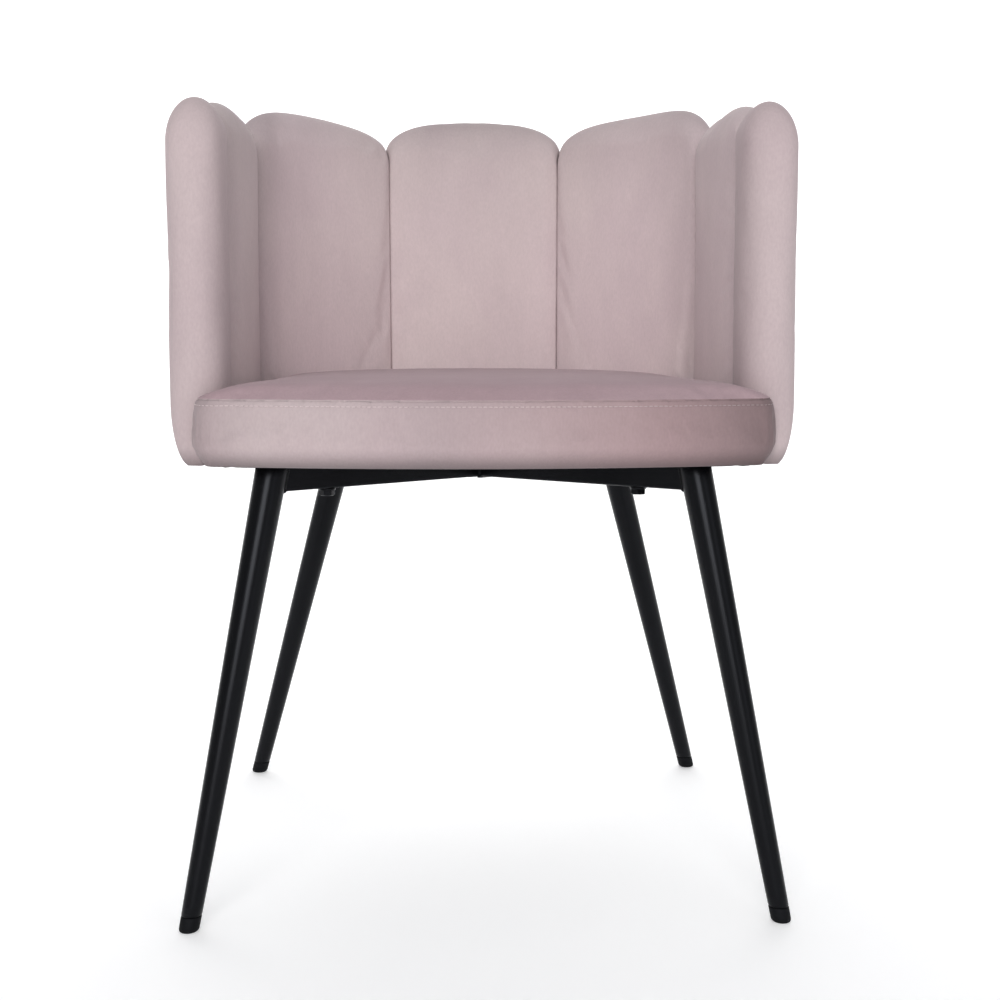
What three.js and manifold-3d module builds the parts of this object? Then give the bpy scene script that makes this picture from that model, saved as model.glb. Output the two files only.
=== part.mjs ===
// Scallop back armchair: a tub chair with seven upright padded channels and a black steel leg frame.
// Millimetres, Z up, the front looks towards -Y, the origin lies on the floor below the middle.
import * as THREE from 'three';
import { mergeVertices } from 'three/addons/utils/BufferGeometryUtils.js';
import Module from 'manifold-3d';

const wasm = await Module();
wasm.setup();

// The whole chair
const overallDepth = 570;         // seat front to the back's outer padding
const bodyBottom = 414;           // floor to the lowest velvet
const fitGap = 0.3;               // between pieces that touch
const cutOverrun = 20;            // how far cutting tools run past what they cut

// Plan line of the back shell, measured to the middle of its thickness
const armHalfSpan = 260.5;        // at the arms' front ends
const armSplay = 7.5;             // the arms open by this much from the round back to their ends
const armSetback = 68;            // arm's front end behind the seat's front
const backRake = 28;              // how far the back leans out over its height

// Padded channels, measured from the middle of the shell
const innerPad = 26;
const outerPad = 26;
const innerSeam = 13;             // the pads are drawn in to these at the seams
const outerSeam = 13;
const crownNose = 38;             // height of the rounded top in the middle of a channel
const seamNose = 16;              // and at a seam
const curlDepth = 18;             // the outer side curls in under the shell
const curlHeight = 56;
const hemReach = 22;              // the hem runs on under the board, past the shell's middle
const armHemSlit = 1.5;           // half the slit left under an arm end

// Petal tops above the lowest velvet, and how deep the notches lie below them, centre to front
const centreRise = 385;
const flankRise = 376;
const sideRise = 344;
const frontRise = 330;
const flankNotchDrop = 35;
const sideNotchDrop = 20;
const frontNotchDrop = 14;
const armEndDrop = 58;            // the arm's front edge starts to round over this far below its top

// Where the seams lie on the half plan line, from the middle of the back to the arm's front end
const flankSeamShare = 0.175;
const sideSeamShare = 0.56;
const frontSeamShare = 0.88;

// Velvet and shell
const velvet = 1.2;
const shellThickness = 9;
const shellTopDrop = 24;          // the shell's edge below the padded top
const shellEndInset = 22;         // the shell's end behind the arm's padded front
const shellCornerRadius = 40;

// Seat cushion
const seatBandHeight = 59;        // lowest velvet to the front seam
const seatRearRise = 14;          // the seat climbs this much to the back
const seatCrown = 14;
const seatArmLap = 2.5;           // the seat's front laps this far past the middle of the arm ends
const seatBow = 37;               // the front edge swells forward by this much
const seatCornerRadius = 28;
const seatWallGap = 0.8;          // cushion to the back's inner pads
const bandCurl = 24;              // the band curls in under the board
const bandCurlHeight = 32;
const bandHem = 20;
const seamRound = 3;              // the top seam lies this far inside the band's fullest line

// Board and dust cover
const boardThickness = 15;
const boardWallGap = 0.5;
const boardFrontClearance = 2;    // board's front edge behind the curled band
const boardArmGap = 1;
const dustThickness = 1;
const dustLap = 10;               // the dust cover laps over the hems
const dustArmGap = 4;
const dustHoleRadius = 5;

// Leg frame: foot centres on the floor and leg axes at the top of the frame. Outsets and insets are
// measured from the middle of the arm ends, setbacks from the seat's front or the back's padding.
const frontFootOutset = 7.5;
const frontFootSetback = 30;
const rearFootOutset = 7.5;
const rearFootSetback = 44.5;
const frontTopInset = 65.5;
const frontTopSetback = 97.2;
const rearTopInset = 106.5;
const rearTopSetback = 149.7;
const legTopRadius = 15;
const legFootRadius = 9;
const legWall = 1.5;
const legTopPlate = 3;
const barHeight = 24;
const barWidth = 16;
const barWall = 1.5;
const capHeight = 14;
const capStemLength = 22;
const capChamfer = 1.6;

// Fasteners of the leg frame
const boltInset = 66;             // from a leg's axis along its bar
const boltRadius = 4;
const boltHeadRadius = 7.5;       // across the corners of the hexagon
const boltHeadHeight = 5.3;
const boltTipMargin = 4.3;        // bolt's tip below the board's top
const washerRadius = 8;
const washerThickness = 1.6;
const teeBarrelWall = 0.9;
const teeFootMargin = 4;          // barrel's foot above the board's underside
const teeFlangeRadius = 11;
const teeFlangeThickness = 1.5;

// Angle brackets between board and shell
const bracketWidth = 22;
const bracketRise = 30;
const bracketThickness = 2.5;
const bracketSeatGap = 1;
const padFootClearance = 5;       // the inner pads end this far above the brackets
const screwRadius = 1.6;
const screwHeadRadius = 3.8;
const screwHeadHeight = 2.2;
const screwTipMargin = 2.4;       // a screw's tip stops this far inside the far face of what holds it
const screwHeight = 18;           // above the bracket's foot
const bracketShares = [-0.665, -0.35, 0, 0.35, 0.665];

// Counts
const roundSides = 18;
const smallSides = 10;
const screwSides = 8;
const noseSteps = 4;
const curlSteps = 3;
const wideColumns = 8;
const narrowColumns = 6;
const outlineSteps = 5;
const facetSamples = 24;

// How full a channel is across, how its top arches, and how its arm end rounds: (1 - x^bend)^ease
const padFullnessShares = { bend: 4, ease: 0.5 };
const archShares = { bend: 2.5, ease: 0.5 };
const armEndShares = { bend: 3.6, ease: 0.5 };

// Rings of the seat's top as shares of its outline, and of the band as shares of its height and inset
const topRingShares = [0.42, 0.74, 0.92];
const bandRingShares = [[0.14, 0.3], [0.34, 0]];

// Levels and places that follow from the sizes above
const shellHalf = shellThickness / 2;
const curlKeep = shellHalf + velvet + fitGap;
const boardBottom = bodyBottom + velvet + fitGap;
const boardTop = boardBottom + boardThickness;
const dustTop = bodyBottom - fitGap;
const dustBottom = dustTop - dustThickness;
const barTop = dustBottom - fitGap;
const barBottom = barTop - barHeight;
const washerTop = barBottom - fitGap;
const washerBottom = washerTop - washerThickness;
const boltSeat = washerBottom - fitGap;
const bracketBase = boardTop + fitGap;
const padInnerBottom = bracketBase + bracketRise + padFootClearance;
const halfDepth = overallDepth / 2;
const frontEdge = -halfDepth;
const backReach = halfDepth - outerPad;
const armReach = halfDepth - armSetback;
const backHalfSpan = armHalfSpan - armSplay;
const seatHalfWidth = armHalfSpan + seatArmLap;
const frontFootSpan = armHalfSpan + frontFootOutset;
const frontFootReach = halfDepth - frontFootSetback;
const rearFootSpan = armHalfSpan + rearFootOutset;
const rearFootReach = halfDepth - rearFootSetback;
const frontTopSpan = armHalfSpan - frontTopInset;
const frontTopReach = halfDepth - frontTopSetback;
const rearTopSpan = armHalfSpan - rearTopInset;
const rearTopReach = halfDepth - rearTopSetback;
const shoulderRise = centreRise - crownNose;

const velvetLook = { color: 0xc4abab, roughness: 0.9, metalness: 0 };
const foamLook = { color: 0xe9dfc4, roughness: 1, metalness: 0 };
const plywoodLook = { color: 0xc9a878, roughness: 0.75, metalness: 0 };
const blackSteelLook = { color: 0x17171a, roughness: 0.45, metalness: 0.6 };
const zincLook = { color: 0xb9bcc0, roughness: 0.35, metalness: 0.9 };
const plasticLook = { color: 0x101012, roughness: 0.5, metalness: 0 };
const dustLook = { color: 0x1c1b1d, roughness: 1, metalness: 0 };

const chair = new THREE.Group();

function place(name, geometry, look, group = chair) {
  const mesh = new THREE.Mesh(geometry, new THREE.MeshStandardMaterial(look));
  mesh.name = name;
  group.add(mesh);
  return mesh;
}

// Merges shared corners and drops triangles that lost an edge by it.
function weld(geometry) {
  const bare = geometry.clone();
  bare.deleteAttribute('normal');
  bare.deleteAttribute('uv');
  const merged = mergeVertices(bare, 1e-4);
  const index = merged.index.array;
  const kept = [];
  for (let at = 0; at < index.length; at += 3) {
    const [a, b, c] = [index[at], index[at + 1], index[at + 2]];
    if (a !== b && b !== c && c !== a) kept.push(a, b, c);
  }
  merged.setIndex(kept);
  return merged;
}

function solid(geometry) {
  const merged = weld(geometry);
  const vertProperties = new Float32Array(merged.attributes.position.array);
  const triVerts = new Uint32Array(merged.index.array);
  return new wasm.Manifold(new wasm.Mesh({ numProp: 3, vertProperties, triVerts }));
}

function geometryOf(body) {
  const mesh = body.getMesh();
  const geometry = new THREE.BufferGeometry();
  const positions = new Float32Array(mesh.vertProperties);
  geometry.setAttribute('position', new THREE.BufferAttribute(positions, 3));
  geometry.setIndex(new THREE.BufferAttribute(new Uint32Array(mesh.triVerts), 1));
  return geometry;
}

function geometryFrom({ points, triangles }) {
  const geometry = new THREE.BufferGeometry();
  const numbers = points.flatMap((point) => [point.x, point.y, point.z]);
  geometry.setAttribute('position', new THREE.Float32BufferAttribute(numbers, 3));
  geometry.setIndex(triangles);
  return geometry;
}

// Adds a grid of quads between columns of points to a mesh in the making.
function addGrid(mesh, columns, facingOut) {
  const base = mesh.points.length;
  const rows = columns[0].length;
  columns.forEach((column) => mesh.points.push(...column));
  for (let column = 0; column < columns.length - 1; column++) {
    for (let row = 0; row < rows - 1; row++) {
      const a = base + column * rows + row;
      const b = a + rows;
      const quad = facingOut ? [a, b, b + 1, a, b + 1, a + 1] : [a, b + 1, b, a, a + 1, b + 1];
      mesh.triangles.push(...quad);
    }
  }
}

// Closes a planar end: the section is the same outline in the flat, for cutting it into triangles.
function addCap(mesh, outline, section, facingOut) {
  const base = mesh.points.length;
  mesh.points.push(...outline);
  const faces = THREE.ShapeUtils.triangulateShape(section, []);
  const areas = faces.map((face) => THREE.ShapeUtils.area(face.map((corner) => section[corner])));
  const covered = areas.reduce((sum, area) => sum + area, 0);
  const keep = (covered * THREE.ShapeUtils.area(section) > 0) === facingOut;
  for (const [a, b, c] of faces) {
    mesh.triangles.push(...(keep ? [base + a, base + b, base + c] : [base + a, base + c, base + b]));
  }
}

// Upright prism over a plan outline.
function prism(outline, bottom, top) {
  const shape = new THREE.Shape(outline.map((point) => new THREE.Vector2(point.x, point.y)));
  const geometry = new THREE.ExtrudeGeometry(shape, { depth: top - bottom, bevelEnabled: false });
  geometry.translate(0, 0, bottom);
  return solid(geometry);
}

// Prism whose outline shifts with height, so that it leans with the back.
function leaningPrism(outlineAt, bottom, top) {
  const upper = outlineAt(top).map(({ x, y }) => new THREE.Vector3(x, y, top));
  const lower = outlineAt(bottom).map(({ x, y }) => new THREE.Vector3(x, y, bottom));
  const section = lower.map(({ x, y }) => new THREE.Vector2(x, y));
  const mesh = { points: [], triangles: [] };
  addGrid(mesh, [[...upper, upper[0]], [...lower, lower[0]]], true);
  addCap(mesh, upper, section, true);
  addCap(mesh, lower, section, false);
  return solid(geometryFrom(mesh));
}

function uprightCylinder(x, y, radius, bottom, top, sides = smallSides) {
  const geometry = new THREE.CylinderGeometry(radius, radius, top - bottom, sides);
  geometry.rotateX(Math.PI / 2);
  geometry.translate(x, y, (top + bottom) / 2);
  return solid(geometry);
}

// The plan line of the shell: a half ellipse for the back with a straight arm at either end.
function halfPlanLine(reach) {
  const line = new THREE.CurvePath();
  line.add(new THREE.EllipseCurve(0, 0, backHalfSpan, reach, Math.PI / 2, 0, true));
  const armStart = new THREE.Vector2(backHalfSpan, 0);
  line.add(new THREE.LineCurve(armStart, new THREE.Vector2(armHalfSpan, -armReach)));
  return line;
}

const footLine = halfPlanLine(backReach - backRake);
const shoulderLine = halfPlanLine(backReach);
const halfLength = footLine.getLength();

// A point on the plan line at a height, and the outward direction there. Shares run from -1 at the
// left arm's front end, through 0 at the middle of the back, to 1 at the right arm's front end.
function planAt(share, height) {
  const along = Math.min(Math.abs(share), 1);
  const side = share < 0 ? -1 : 1;
  const rise = (height - bodyBottom) / shoulderRise;
  const point = footLine.getPoint(along).lerp(shoulderLine.getPoint(along), rise);
  const way = footLine.getTangent(along).lerp(shoulderLine.getTangent(along), rise).normalize();
  return { x: side * point.x, y: point.y, outX: -way.y * side, outY: way.x };
}

function offsetPoint(share, height, offset) {
  const at = planAt(share, height);
  return new THREE.Vector3(at.x + at.outX * offset, at.y + at.outY * offset, height);
}

// The seven channels: where each runs along the plan line, its top, and what bounds it on each side.
const seamBound = (rise) => ({ rise, inner: innerSeam, outer: outerSeam, nose: seamNose, open: false });
const flankSeam = seamBound(flankRise - flankNotchDrop);
const sideSeam = seamBound(sideRise - sideNotchDrop);
const frontSeam = seamBound(frontRise - frontNotchDrop);
const armEnd = { rise: frontRise - armEndDrop, inner: 0, outer: 0, nose: 0, open: true };
const rightChannels = [
  {
    name: 'flank', from: flankSeamShare, to: sideSeamShare, rise: flankRise,
    left: flankSeam, right: sideSeam, columns: wideColumns,
  },
  {
    name: 'side', from: sideSeamShare, to: frontSeamShare, rise: sideRise,
    left: sideSeam, right: frontSeam, columns: wideColumns,
  },
  {
    name: 'front', from: frontSeamShare, to: 1, rise: frontRise,
    left: frontSeam, right: armEnd, columns: narrowColumns,
  },
];
const centreChannel = {
  name: 'centre', from: -flankSeamShare, to: flankSeamShare, rise: centreRise,
  left: flankSeam, right: flankSeam, columns: wideColumns, arm: false,
};

function onSide(channel, side) {
  const named = { ...channel, name: `${channel.name}_${side}`, arm: channel.right.open };
  if (side === 'right') return named;
  return { ...named, from: -channel.to, to: -channel.from, left: channel.right, right: channel.left };
}

const channels = [
  ...rightChannels.map((channel) => onSide(channel, 'left')).reverse(),
  centreChannel,
  ...rightChannels.map((channel) => onSide(channel, 'right')),
];

// The shares along the plan line at which the channels have their columns, crowding towards the seams.
const columnPlaces = channels.flatMap((channel) => {
  const first = channel === channels[0] ? 0 : 1;
  const places = [];
  for (let column = first; column <= channel.columns; column++) {
    const across = -Math.cos((column / channel.columns) * Math.PI);
    places.push({ channel, share: channel.from + (channel.to - channel.from) * (across + 1) / 2 });
  }
  return places;
});

// The same places, cut off at a share short of the arms' front ends.
function placesWithin(reach) {
  const held = columnPlaces.filter(({ share }) => Math.abs(share) < reach);
  const ends = [-1, 1].map((side) => ({ channel: held.at(side < 0 ? 0 : -1).channel, share: side * reach }));
  return [ends[0], ...held, ends[1]];
}

// The plan line offset inwards or outwards, as points from the left to the right.
function wallLine(offset, height, reach) {
  return placesWithin(reach).map(({ share }) => offsetPoint(share, height, offset));
}

const rounded = (across, { bend, ease }) => Math.max(1 - Math.abs(across) ** bend, 0) ** ease;

// Pad thicknesses and top of a channel at a place across it, from -1 to 1, at a depth below its skin.
function sectionAt(channel, across, depth) {
  const bound = across < 0 ? channel.left : channel.right;
  const swell = rounded(across, bound.open ? armEndShares : padFullnessShares);
  const thickness = (pad, seam) => {
    const edge = bound.open ? 0 : seam - depth;
    return edge + (pad - depth - edge) * swell;
  };
  return {
    inner: thickness(innerPad, bound.inner),
    outer: thickness(outerPad, bound.outer),
    nose: bound.nose + (crownNose - bound.nose) * swell,
    top: bodyBottom + bound.rise + (channel.rise - bound.rise) * rounded(across, archShares) - depth,
  };
}

// Offsets and heights down one side of a channel, from just below its top: the rounded nose first.
function noseRows(section, pad) {
  const rows = [];
  for (let step = 1; step <= noseSteps; step++) {
    const turn = (step / noseSteps) * Math.PI / 2;
    rows.push([pad * Math.sin(turn), section.top - section.nose * (1 - Math.cos(turn))]);
  }
  return rows;
}

// Then the straight side and the curl to the hem, or the plain foot behind the seat cushion.
function curledSide(section, pad, hem, depth) {
  const rows = noseRows(section, pad);
  const low = bodyBottom + depth;
  for (let step = 0; step <= curlSteps; step++) {
    const turn = (step / curlSteps) * Math.PI / 2;
    const fullness = Math.max(pad - curlKeep, 0) / (outerPad - curlKeep);
    const drawnIn = curlDepth * fullness * (1 - Math.cos(turn));
    rows.push([pad - drawnIn, low + curlHeight * (1 - Math.sin(turn))]);
  }
  rows.push([hem, low]);
  return rows;
}

function plainSide(section, pad) {
  return [...noseRows(section, pad), [pad, padInnerBottom]];
}

// The skin of a channel: for each column across it, its section as offsets and heights from the
// inner foot over the top to the outer hem, and the same in space. Columns crowd towards the seams.
function channelSkin(channel, depth, hemOffset) {
  const inset = (bound) => (bound.open ? depth : fitGap / 2) / halfLength;
  const from = channel.from + inset(channel.left);
  const to = channel.to - inset(channel.right);
  const skin = [];
  for (let column = 0; column <= channel.columns; column++) {
    const across = -Math.cos((column / channel.columns) * Math.PI);
    const share = from + (to - from) * (across + 1) / 2;
    const section = sectionAt(channel, across, depth);
    const slit = armHemSlit * (section.inner / innerPad);
    const outerRows = curledSide(section, section.outer, channel.arm ? slit : hemOffset, depth);
    const innerRows = channel.arm
      ? curledSide(section, section.inner, slit, depth)
      : plainSide(section, section.inner);
    const inwards = innerRows.map(([offset, height]) => [-offset, height]).reverse();
    skin.push({ share, flat: [...inwards, [0, section.top], ...outerRows] });
  }
  return skin;
}

const inSpace = ({ share, flat }) => flat.map(([offset, height]) => offsetPoint(share, height, offset));
const inFlat = ({ flat }) => flat.map(([offset, height]) => new THREE.Vector2(offset, height));

// A sewn velvet channel: its skin given the cloth's thickness, with strips along its edges.
function channelCover(channel) {
  const outside = channelSkin(channel, 0, -hemReach).map(inSpace);
  const inside = channelSkin(channel, velvet, -hemReach).map(inSpace);
  const mesh = { points: [], triangles: [] };
  const last = outside[0].length - 1;
  addGrid(mesh, outside, true);
  addGrid(mesh, inside, false);
  addGrid(mesh, [inside.map((column) => column[0]), outside.map((column) => column[0])], false);
  addGrid(mesh, [outside.map((column) => column[last]), inside.map((column) => column[last])], false);
  if (!channel.left.open) addGrid(mesh, [inside[0], outside[0]], true);
  if (!channel.right.open) addGrid(mesh, [outside.at(-1), inside.at(-1)], true);
  return weld(geometryFrom(mesh));
}

// The foam channel below it, closed at its foot and sides, with the shell's place cut out of it.
function channelFoam(channel, shellPlace) {
  const skin = channelSkin(channel, velvet + fitGap, 0);
  if (!channel.arm) skin.forEach((column) => column.flat.push([0, padInnerBottom]));
  const columns = skin.map(inSpace);
  const mesh = { points: [], triangles: [] };
  addGrid(mesh, columns.map((column) => [...column, column[0]]), true);
  if (!channel.left.open) addCap(mesh, columns[0], inFlat(skin[0]), true);
  if (!channel.right.open) addCap(mesh, columns.at(-1), inFlat(skin.at(-1)), false);
  return geometryOf(solid(geometryFrom(mesh)).subtract(shellPlace));
}

// The top edge of the shell follows the petals, with a round corner at each arm's end.
function shellTopAt(channel, share) {
  const across = 2 * (share - channel.from) / (channel.to - channel.from) - 1;
  const toEnd = halfLength * (1 - Math.abs(share)) - shellEndInset;
  const corner = THREE.MathUtils.clamp(shellCornerRadius - toEnd, 0, shellCornerRadius);
  const rounding = shellCornerRadius - Math.sqrt(shellCornerRadius ** 2 - corner ** 2);
  return sectionAt(channel, across, 0).top - shellTopDrop - rounding;
}

// The bent shell as a slab along the plan line. Grown by a gap and lengthened downwards, it is also
// the tool that cuts its place out of the foam.
function shellSlab(grown, lengthened) {
  const shareReach = 1 - (shellEndInset - grown) / halfLength;
  const bottom = boardBottom - lengthened;
  const half = shellHalf + grown;
  const columns = placesWithin(shareReach).map(({ channel, share }) => {
    const top = shellTopAt(channel, share) + grown;
    const corners = [[-half, bottom], [-half, top], [half, top], [half, bottom]];
    return corners.map(([offset, height]) => offsetPoint(share, height, offset));
  });
  const mesh = { points: [], triangles: [] };
  const section = [[-1, 0], [-1, 1], [1, 1], [1, 0]].map(([x, y]) => new THREE.Vector2(x, y));
  addGrid(mesh, columns.map((column) => [...column, column[0]]), true);
  addCap(mesh, columns[0], section, true);
  addCap(mesh, columns.at(-1), section, false);
  return solid(geometryFrom(mesh));
}

// Plan outline of the seat: a bowed front, round corners, straight sides and a round rear.
function seatOutline(inset) {
  const half = seatHalfWidth - inset;
  const front = frontEdge + inset;
  const radius = seatCornerRadius - inset / 2;
  const cornerX = half - radius;
  const cornerY = front + seatBow * (cornerX / half) ** 2;
  const slope = 2 * seatBow * cornerX / half ** 2;
  const sideY = cornerY + slope * radius;
  const shape = new THREE.Shape();
  shape.moveTo(half, 0);
  shape.absellipse(0, 0, half, overallDepth / 2 - inset, 0, Math.PI, false, 0);
  shape.lineTo(-half, -armReach / 2);
  shape.lineTo(-half, sideY + radius);
  shape.quadraticCurveTo(-half, sideY, -cornerX, cornerY);
  shape.quadraticCurveTo(0, 2 * front - cornerY, cornerX, cornerY);
  shape.quadraticCurveTo(half, sideY, half, sideY + radius);
  shape.lineTo(half, -armReach / 2);
  const outline = shape.getPoints(outlineSteps);
  return outline.filter((point, at) => point.distanceTo(outline[(at + 1) % outline.length]) > fitGap);
}

const seatClimb = (y) => seatRearRise * (y - frontEdge) / overallDepth;
const seamHeight = (y) => bodyBottom + seatBandHeight + seatClimb(y);

// The crowned cushion as rings from the middle of its top down the band and under the board, at a
// depth below its skin. Its rear runs on, to be trimmed to the back's inner wall.
function cushionBody(depth) {
  const rim = seatOutline(seamRound + depth);
  const lift = (share) => seatCrown * rounded(share, padFullnessShares) - depth;
  const rings = topRingShares.map((share) => (
    rim.map((p) => new THREE.Vector3(p.x * share, p.y * share, seamHeight(p.y * share) + lift(share)))
  ));
  rings.push(rim.map((p) => new THREE.Vector3(p.x, p.y, seamHeight(p.y) - depth)));
  const low = bodyBottom + depth;
  const bandRing = (inset, heightOf) => {
    rings.push(seatOutline(inset + depth).map((p) => new THREE.Vector3(p.x, p.y, heightOf(p.y))));
  };
  for (const [heightShare, insetShare] of bandRingShares) {
    bandRing(seamRound * insetShare, (y) => seamHeight(y) - depth - seatBandHeight * heightShare);
  }
  for (let step = 0; step <= curlSteps + 1; step++) {
    const turn = (step / (curlSteps + 1)) * Math.PI / 2;
    bandRing(bandCurl * (1 - Math.cos(turn)), () => low + bandCurlHeight * (1 - Math.sin(turn)));
  }
  const mesh = { points: [], triangles: [] };
  const closedRings = rings.map((ring) => [...ring, ring[0]]);
  const top = closedRings[0].map(() => new THREE.Vector3(0, 0, seamHeight(0) + lift(0)));
  const bottom = closedRings[0].map(() => new THREE.Vector3(0, 0, low));
  addGrid(mesh, [top, ...closedRings, bottom], true);
  return solid(geometryFrom(mesh));
}

// What the cushion may fill in plan: all in front of the arm ends, and the room between the walls.
function seatRoom(depth) {
  const far = overallDepth;
  const ear = -(armReach + seatWallGap + depth);
  const outlineAt = (height) => {
    const wall = wallLine(-(innerPad + seatWallGap + depth), height, 1);
    const start = wall[0].x;
    return [
      { x: -far, y: -far }, { x: far, y: -far }, { x: far, y: ear }, { x: -start, y: ear },
      ...wall.reverse(), { x: start, y: ear }, { x: -far, y: ear },
    ];
  };
  return leaningPrism(outlineAt, bodyBottom - cutOverrun, bodyBottom + centreRise);
}

// Everything behind the arm ends and below a level, where the board fills the width.
function belowBoardTop(level) {
  const far = overallDepth;
  const ear = -(armReach + seatWallGap);
  return prism([{ x: -far, y: ear }, { x: far, y: ear }, { x: far, y: far }, { x: -far, y: far }], 0, level);
}

// A flat sheet or board: bowed in front, narrow between the padded arm ends, wide behind them.
function basePanel(frontInset, wallOffset, armOffset, bottom, top) {
  const armWall = wallLine(-armOffset, bodyBottom, 1);
  const far = overallDepth;
  const inFront = [{ x: armWall.at(-1).x, y: -far }, { x: armWall[0].x, y: -far }];
  const betweenArms = prism([...armWall, ...inFront], bottom, top);
  const wideReach = frontSeamShare - boardArmGap / halfLength;
  const wide = prism(wallLine(-wallOffset, bodyBottom, wideReach), bottom, top);
  return prism(seatOutline(frontInset), bottom, top).intersect(betweenArms).add(wide);
}

// Legs
const legs = [
  { name: 'front_left', foot: [-frontFootSpan, -frontFootReach], top: [-frontTopSpan, -frontTopReach] },
  { name: 'front_right', foot: [frontFootSpan, -frontFootReach], top: [frontTopSpan, -frontTopReach] },
  { name: 'rear_left', foot: [-rearFootSpan, rearFootReach], top: [-rearTopSpan, rearTopReach] },
  { name: 'rear_right', foot: [rearFootSpan, rearFootReach], top: [rearTopSpan, rearTopReach] },
];
const legNamed = (name) => legs.find((leg) => leg.name === name);

// A tapered round along a leg's axis, run out past both of its ends, to be cut level afterwards.
function legCone(leg, grown) {
  const foot = new THREE.Vector3(...leg.foot, 0);
  const top = new THREE.Vector3(...leg.top, barTop);
  const length = foot.distanceTo(top);
  const taper = (legTopRadius - legFootRadius) / length;
  const topRadius = legTopRadius + taper * cutOverrun + grown;
  const footRadius = legFootRadius - taper * cutOverrun + grown;
  const geometry = new THREE.CylinderGeometry(topRadius, footRadius, length + 2 * cutOverrun, roundSides);
  const way = top.clone().sub(foot).normalize();
  geometry.applyQuaternion(new THREE.Quaternion().setFromUnitVectors(new THREE.Vector3(0, 1, 0), way));
  geometry.translate(...foot.add(top).divideScalar(2).toArray());
  return solid(geometry);
}

function levelSlab(bottom, top) {
  const geometry = new THREE.BoxGeometry(2 * overallDepth, 2 * overallDepth, top - bottom);
  geometry.translate(0, 0, (bottom + top) / 2);
  return solid(geometry);
}

function legTube(leg) {
  const wall = legCone(leg, 0).subtract(legCone(leg, -legWall)).intersect(levelSlab(capHeight, barTop));
  const plate = legCone(leg, 0).intersect(levelSlab(barTop - legTopPlate, barTop));
  return wall.add(plate);
}

// A foot cap: a disc as wide as the tube with a bevelled foot, and a stem that plugs into the tube.
function footCap(leg) {
  const discTop = capHeight - fitGap;
  const footRadius = legFootRadius - capChamfer;
  const bevel = new THREE.CylinderGeometry(footRadius + discTop, footRadius, discTop, roundSides);
  bevel.rotateX(Math.PI / 2);
  bevel.translate(leg.foot[0], leg.foot[1], discTop / 2);
  const disc = legCone(leg, 0).intersect(levelSlab(0, discTop)).intersect(solid(bevel));
  const stem = legCone(leg, -legWall - fitGap).intersect(levelSlab(discTop / 2, capHeight + capStemLength));
  return disc.add(stem);
}

// Bars: rectangular tubes between the leg axes, coped to the legs and drilled for the bolts
const barMiddle = (barTop + barBottom) / 2;

function legAxisAt(leg, height) {
  const share = height / barTop;
  return new THREE.Vector3(
    leg.foot[0] + (leg.top[0] - leg.foot[0]) * share,
    leg.foot[1] + (leg.top[1] - leg.foot[1]) * share,
    height,
  );
}

function barBetween(start, end, width, height) {
  const geometry = new THREE.BoxGeometry(start.distanceTo(end), width, height);
  geometry.rotateZ(Math.atan2(end.y - start.y, end.x - start.x));
  geometry.translate((start.x + end.x) / 2, (start.y + end.y) / 2, barMiddle);
  return solid(geometry);
}

function barTube(start, end) {
  const bore = barBetween(start, end, barWidth - 2 * barWall, barHeight - 2 * barWall);
  return barBetween(start, end, barWidth, barHeight).subtract(bore);
}

const barEnds = Object.fromEntries(legs.map((leg) => [leg.name, legAxisAt(leg, barMiddle)]));

function boltPlace(leg) {
  const [row, side] = leg.name.split('_');
  const across = `${row === 'front' ? 'rear' : 'front'}_${side === 'left' ? 'right' : 'left'}`;
  const start = barEnds[leg.name];
  const way = barEnds[across].clone().sub(start).normalize();
  return start.clone().addScaledVector(way, boltInset);
}

const boltPlaces = legs.map((leg) => ({ name: leg.name, ...boltPlace(leg) }));

function drilled(body, radius, bottom, top) {
  const holes = boltPlaces.map((at) => uprightCylinder(at.x, at.y, radius, bottom, top));
  return holes.reduce((left, hole) => left.subtract(hole), body);
}

function coped(body, ...names) {
  return names.reduce((left, name) => left.subtract(legCone(legNamed(name), fitGap)), body);
}

// Where the plan lines of the two bars cross.
function crossing() {
  const [a, b, c, d] = ['front_left', 'rear_right', 'front_right', 'rear_left'].map((name) => barEnds[name]);
  const one = b.clone().sub(a);
  const two = d.clone().sub(c);
  const share = ((c.x - a.x) * two.y - (c.y - a.y) * two.x) / (one.x * two.y - one.y * two.x);
  return a.clone().addScaledVector(one, share);
}

const crossPoint = crossing();
const holeBottom = barBottom - cutOverrun;
const holeTop = barTop + cutOverrun;
const boltHole = boltRadius + fitGap;
const longBarRoom = barBetween(
  barEnds.front_left, barEnds.rear_right, barWidth + 2 * fitGap, barHeight + cutOverrun,
);
const bars = {
  long_bar: coped(barTube(barEnds.front_left, barEnds.rear_right), 'front_left', 'rear_right'),
  half_bar_front: coped(barTube(barEnds.front_right, crossPoint).subtract(longBarRoom), 'front_right'),
  half_bar_rear: coped(barTube(barEnds.rear_left, crossPoint).subtract(longBarRoom), 'rear_left'),
};

const legFrame = new THREE.Group();
chair.add(legFrame);
for (const leg of legs) {
  place(`leg_${leg.name}`, geometryOf(legTube(leg)), blackSteelLook, legFrame);
  place(`foot_cap_${leg.name}`, geometryOf(footCap(leg)), plasticLook, legFrame);
}
for (const [name, bar] of Object.entries(bars)) {
  place(name, geometryOf(drilled(bar, boltHole, holeBottom, holeTop)), blackSteelLook, legFrame);
}

// Bolts, washers and tee nuts
const boltLength = boardTop - boltTipMargin - boltSeat;
const teeBore = boltRadius + fitGap;
const teeBarrelRadius = teeBore + teeBarrelWall;
const teeHole = teeBarrelRadius + fitGap;
const teeSeat = boardTop - teeFlangeThickness;
const teeBarrelFoot = boardBottom + teeFootMargin;

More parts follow.
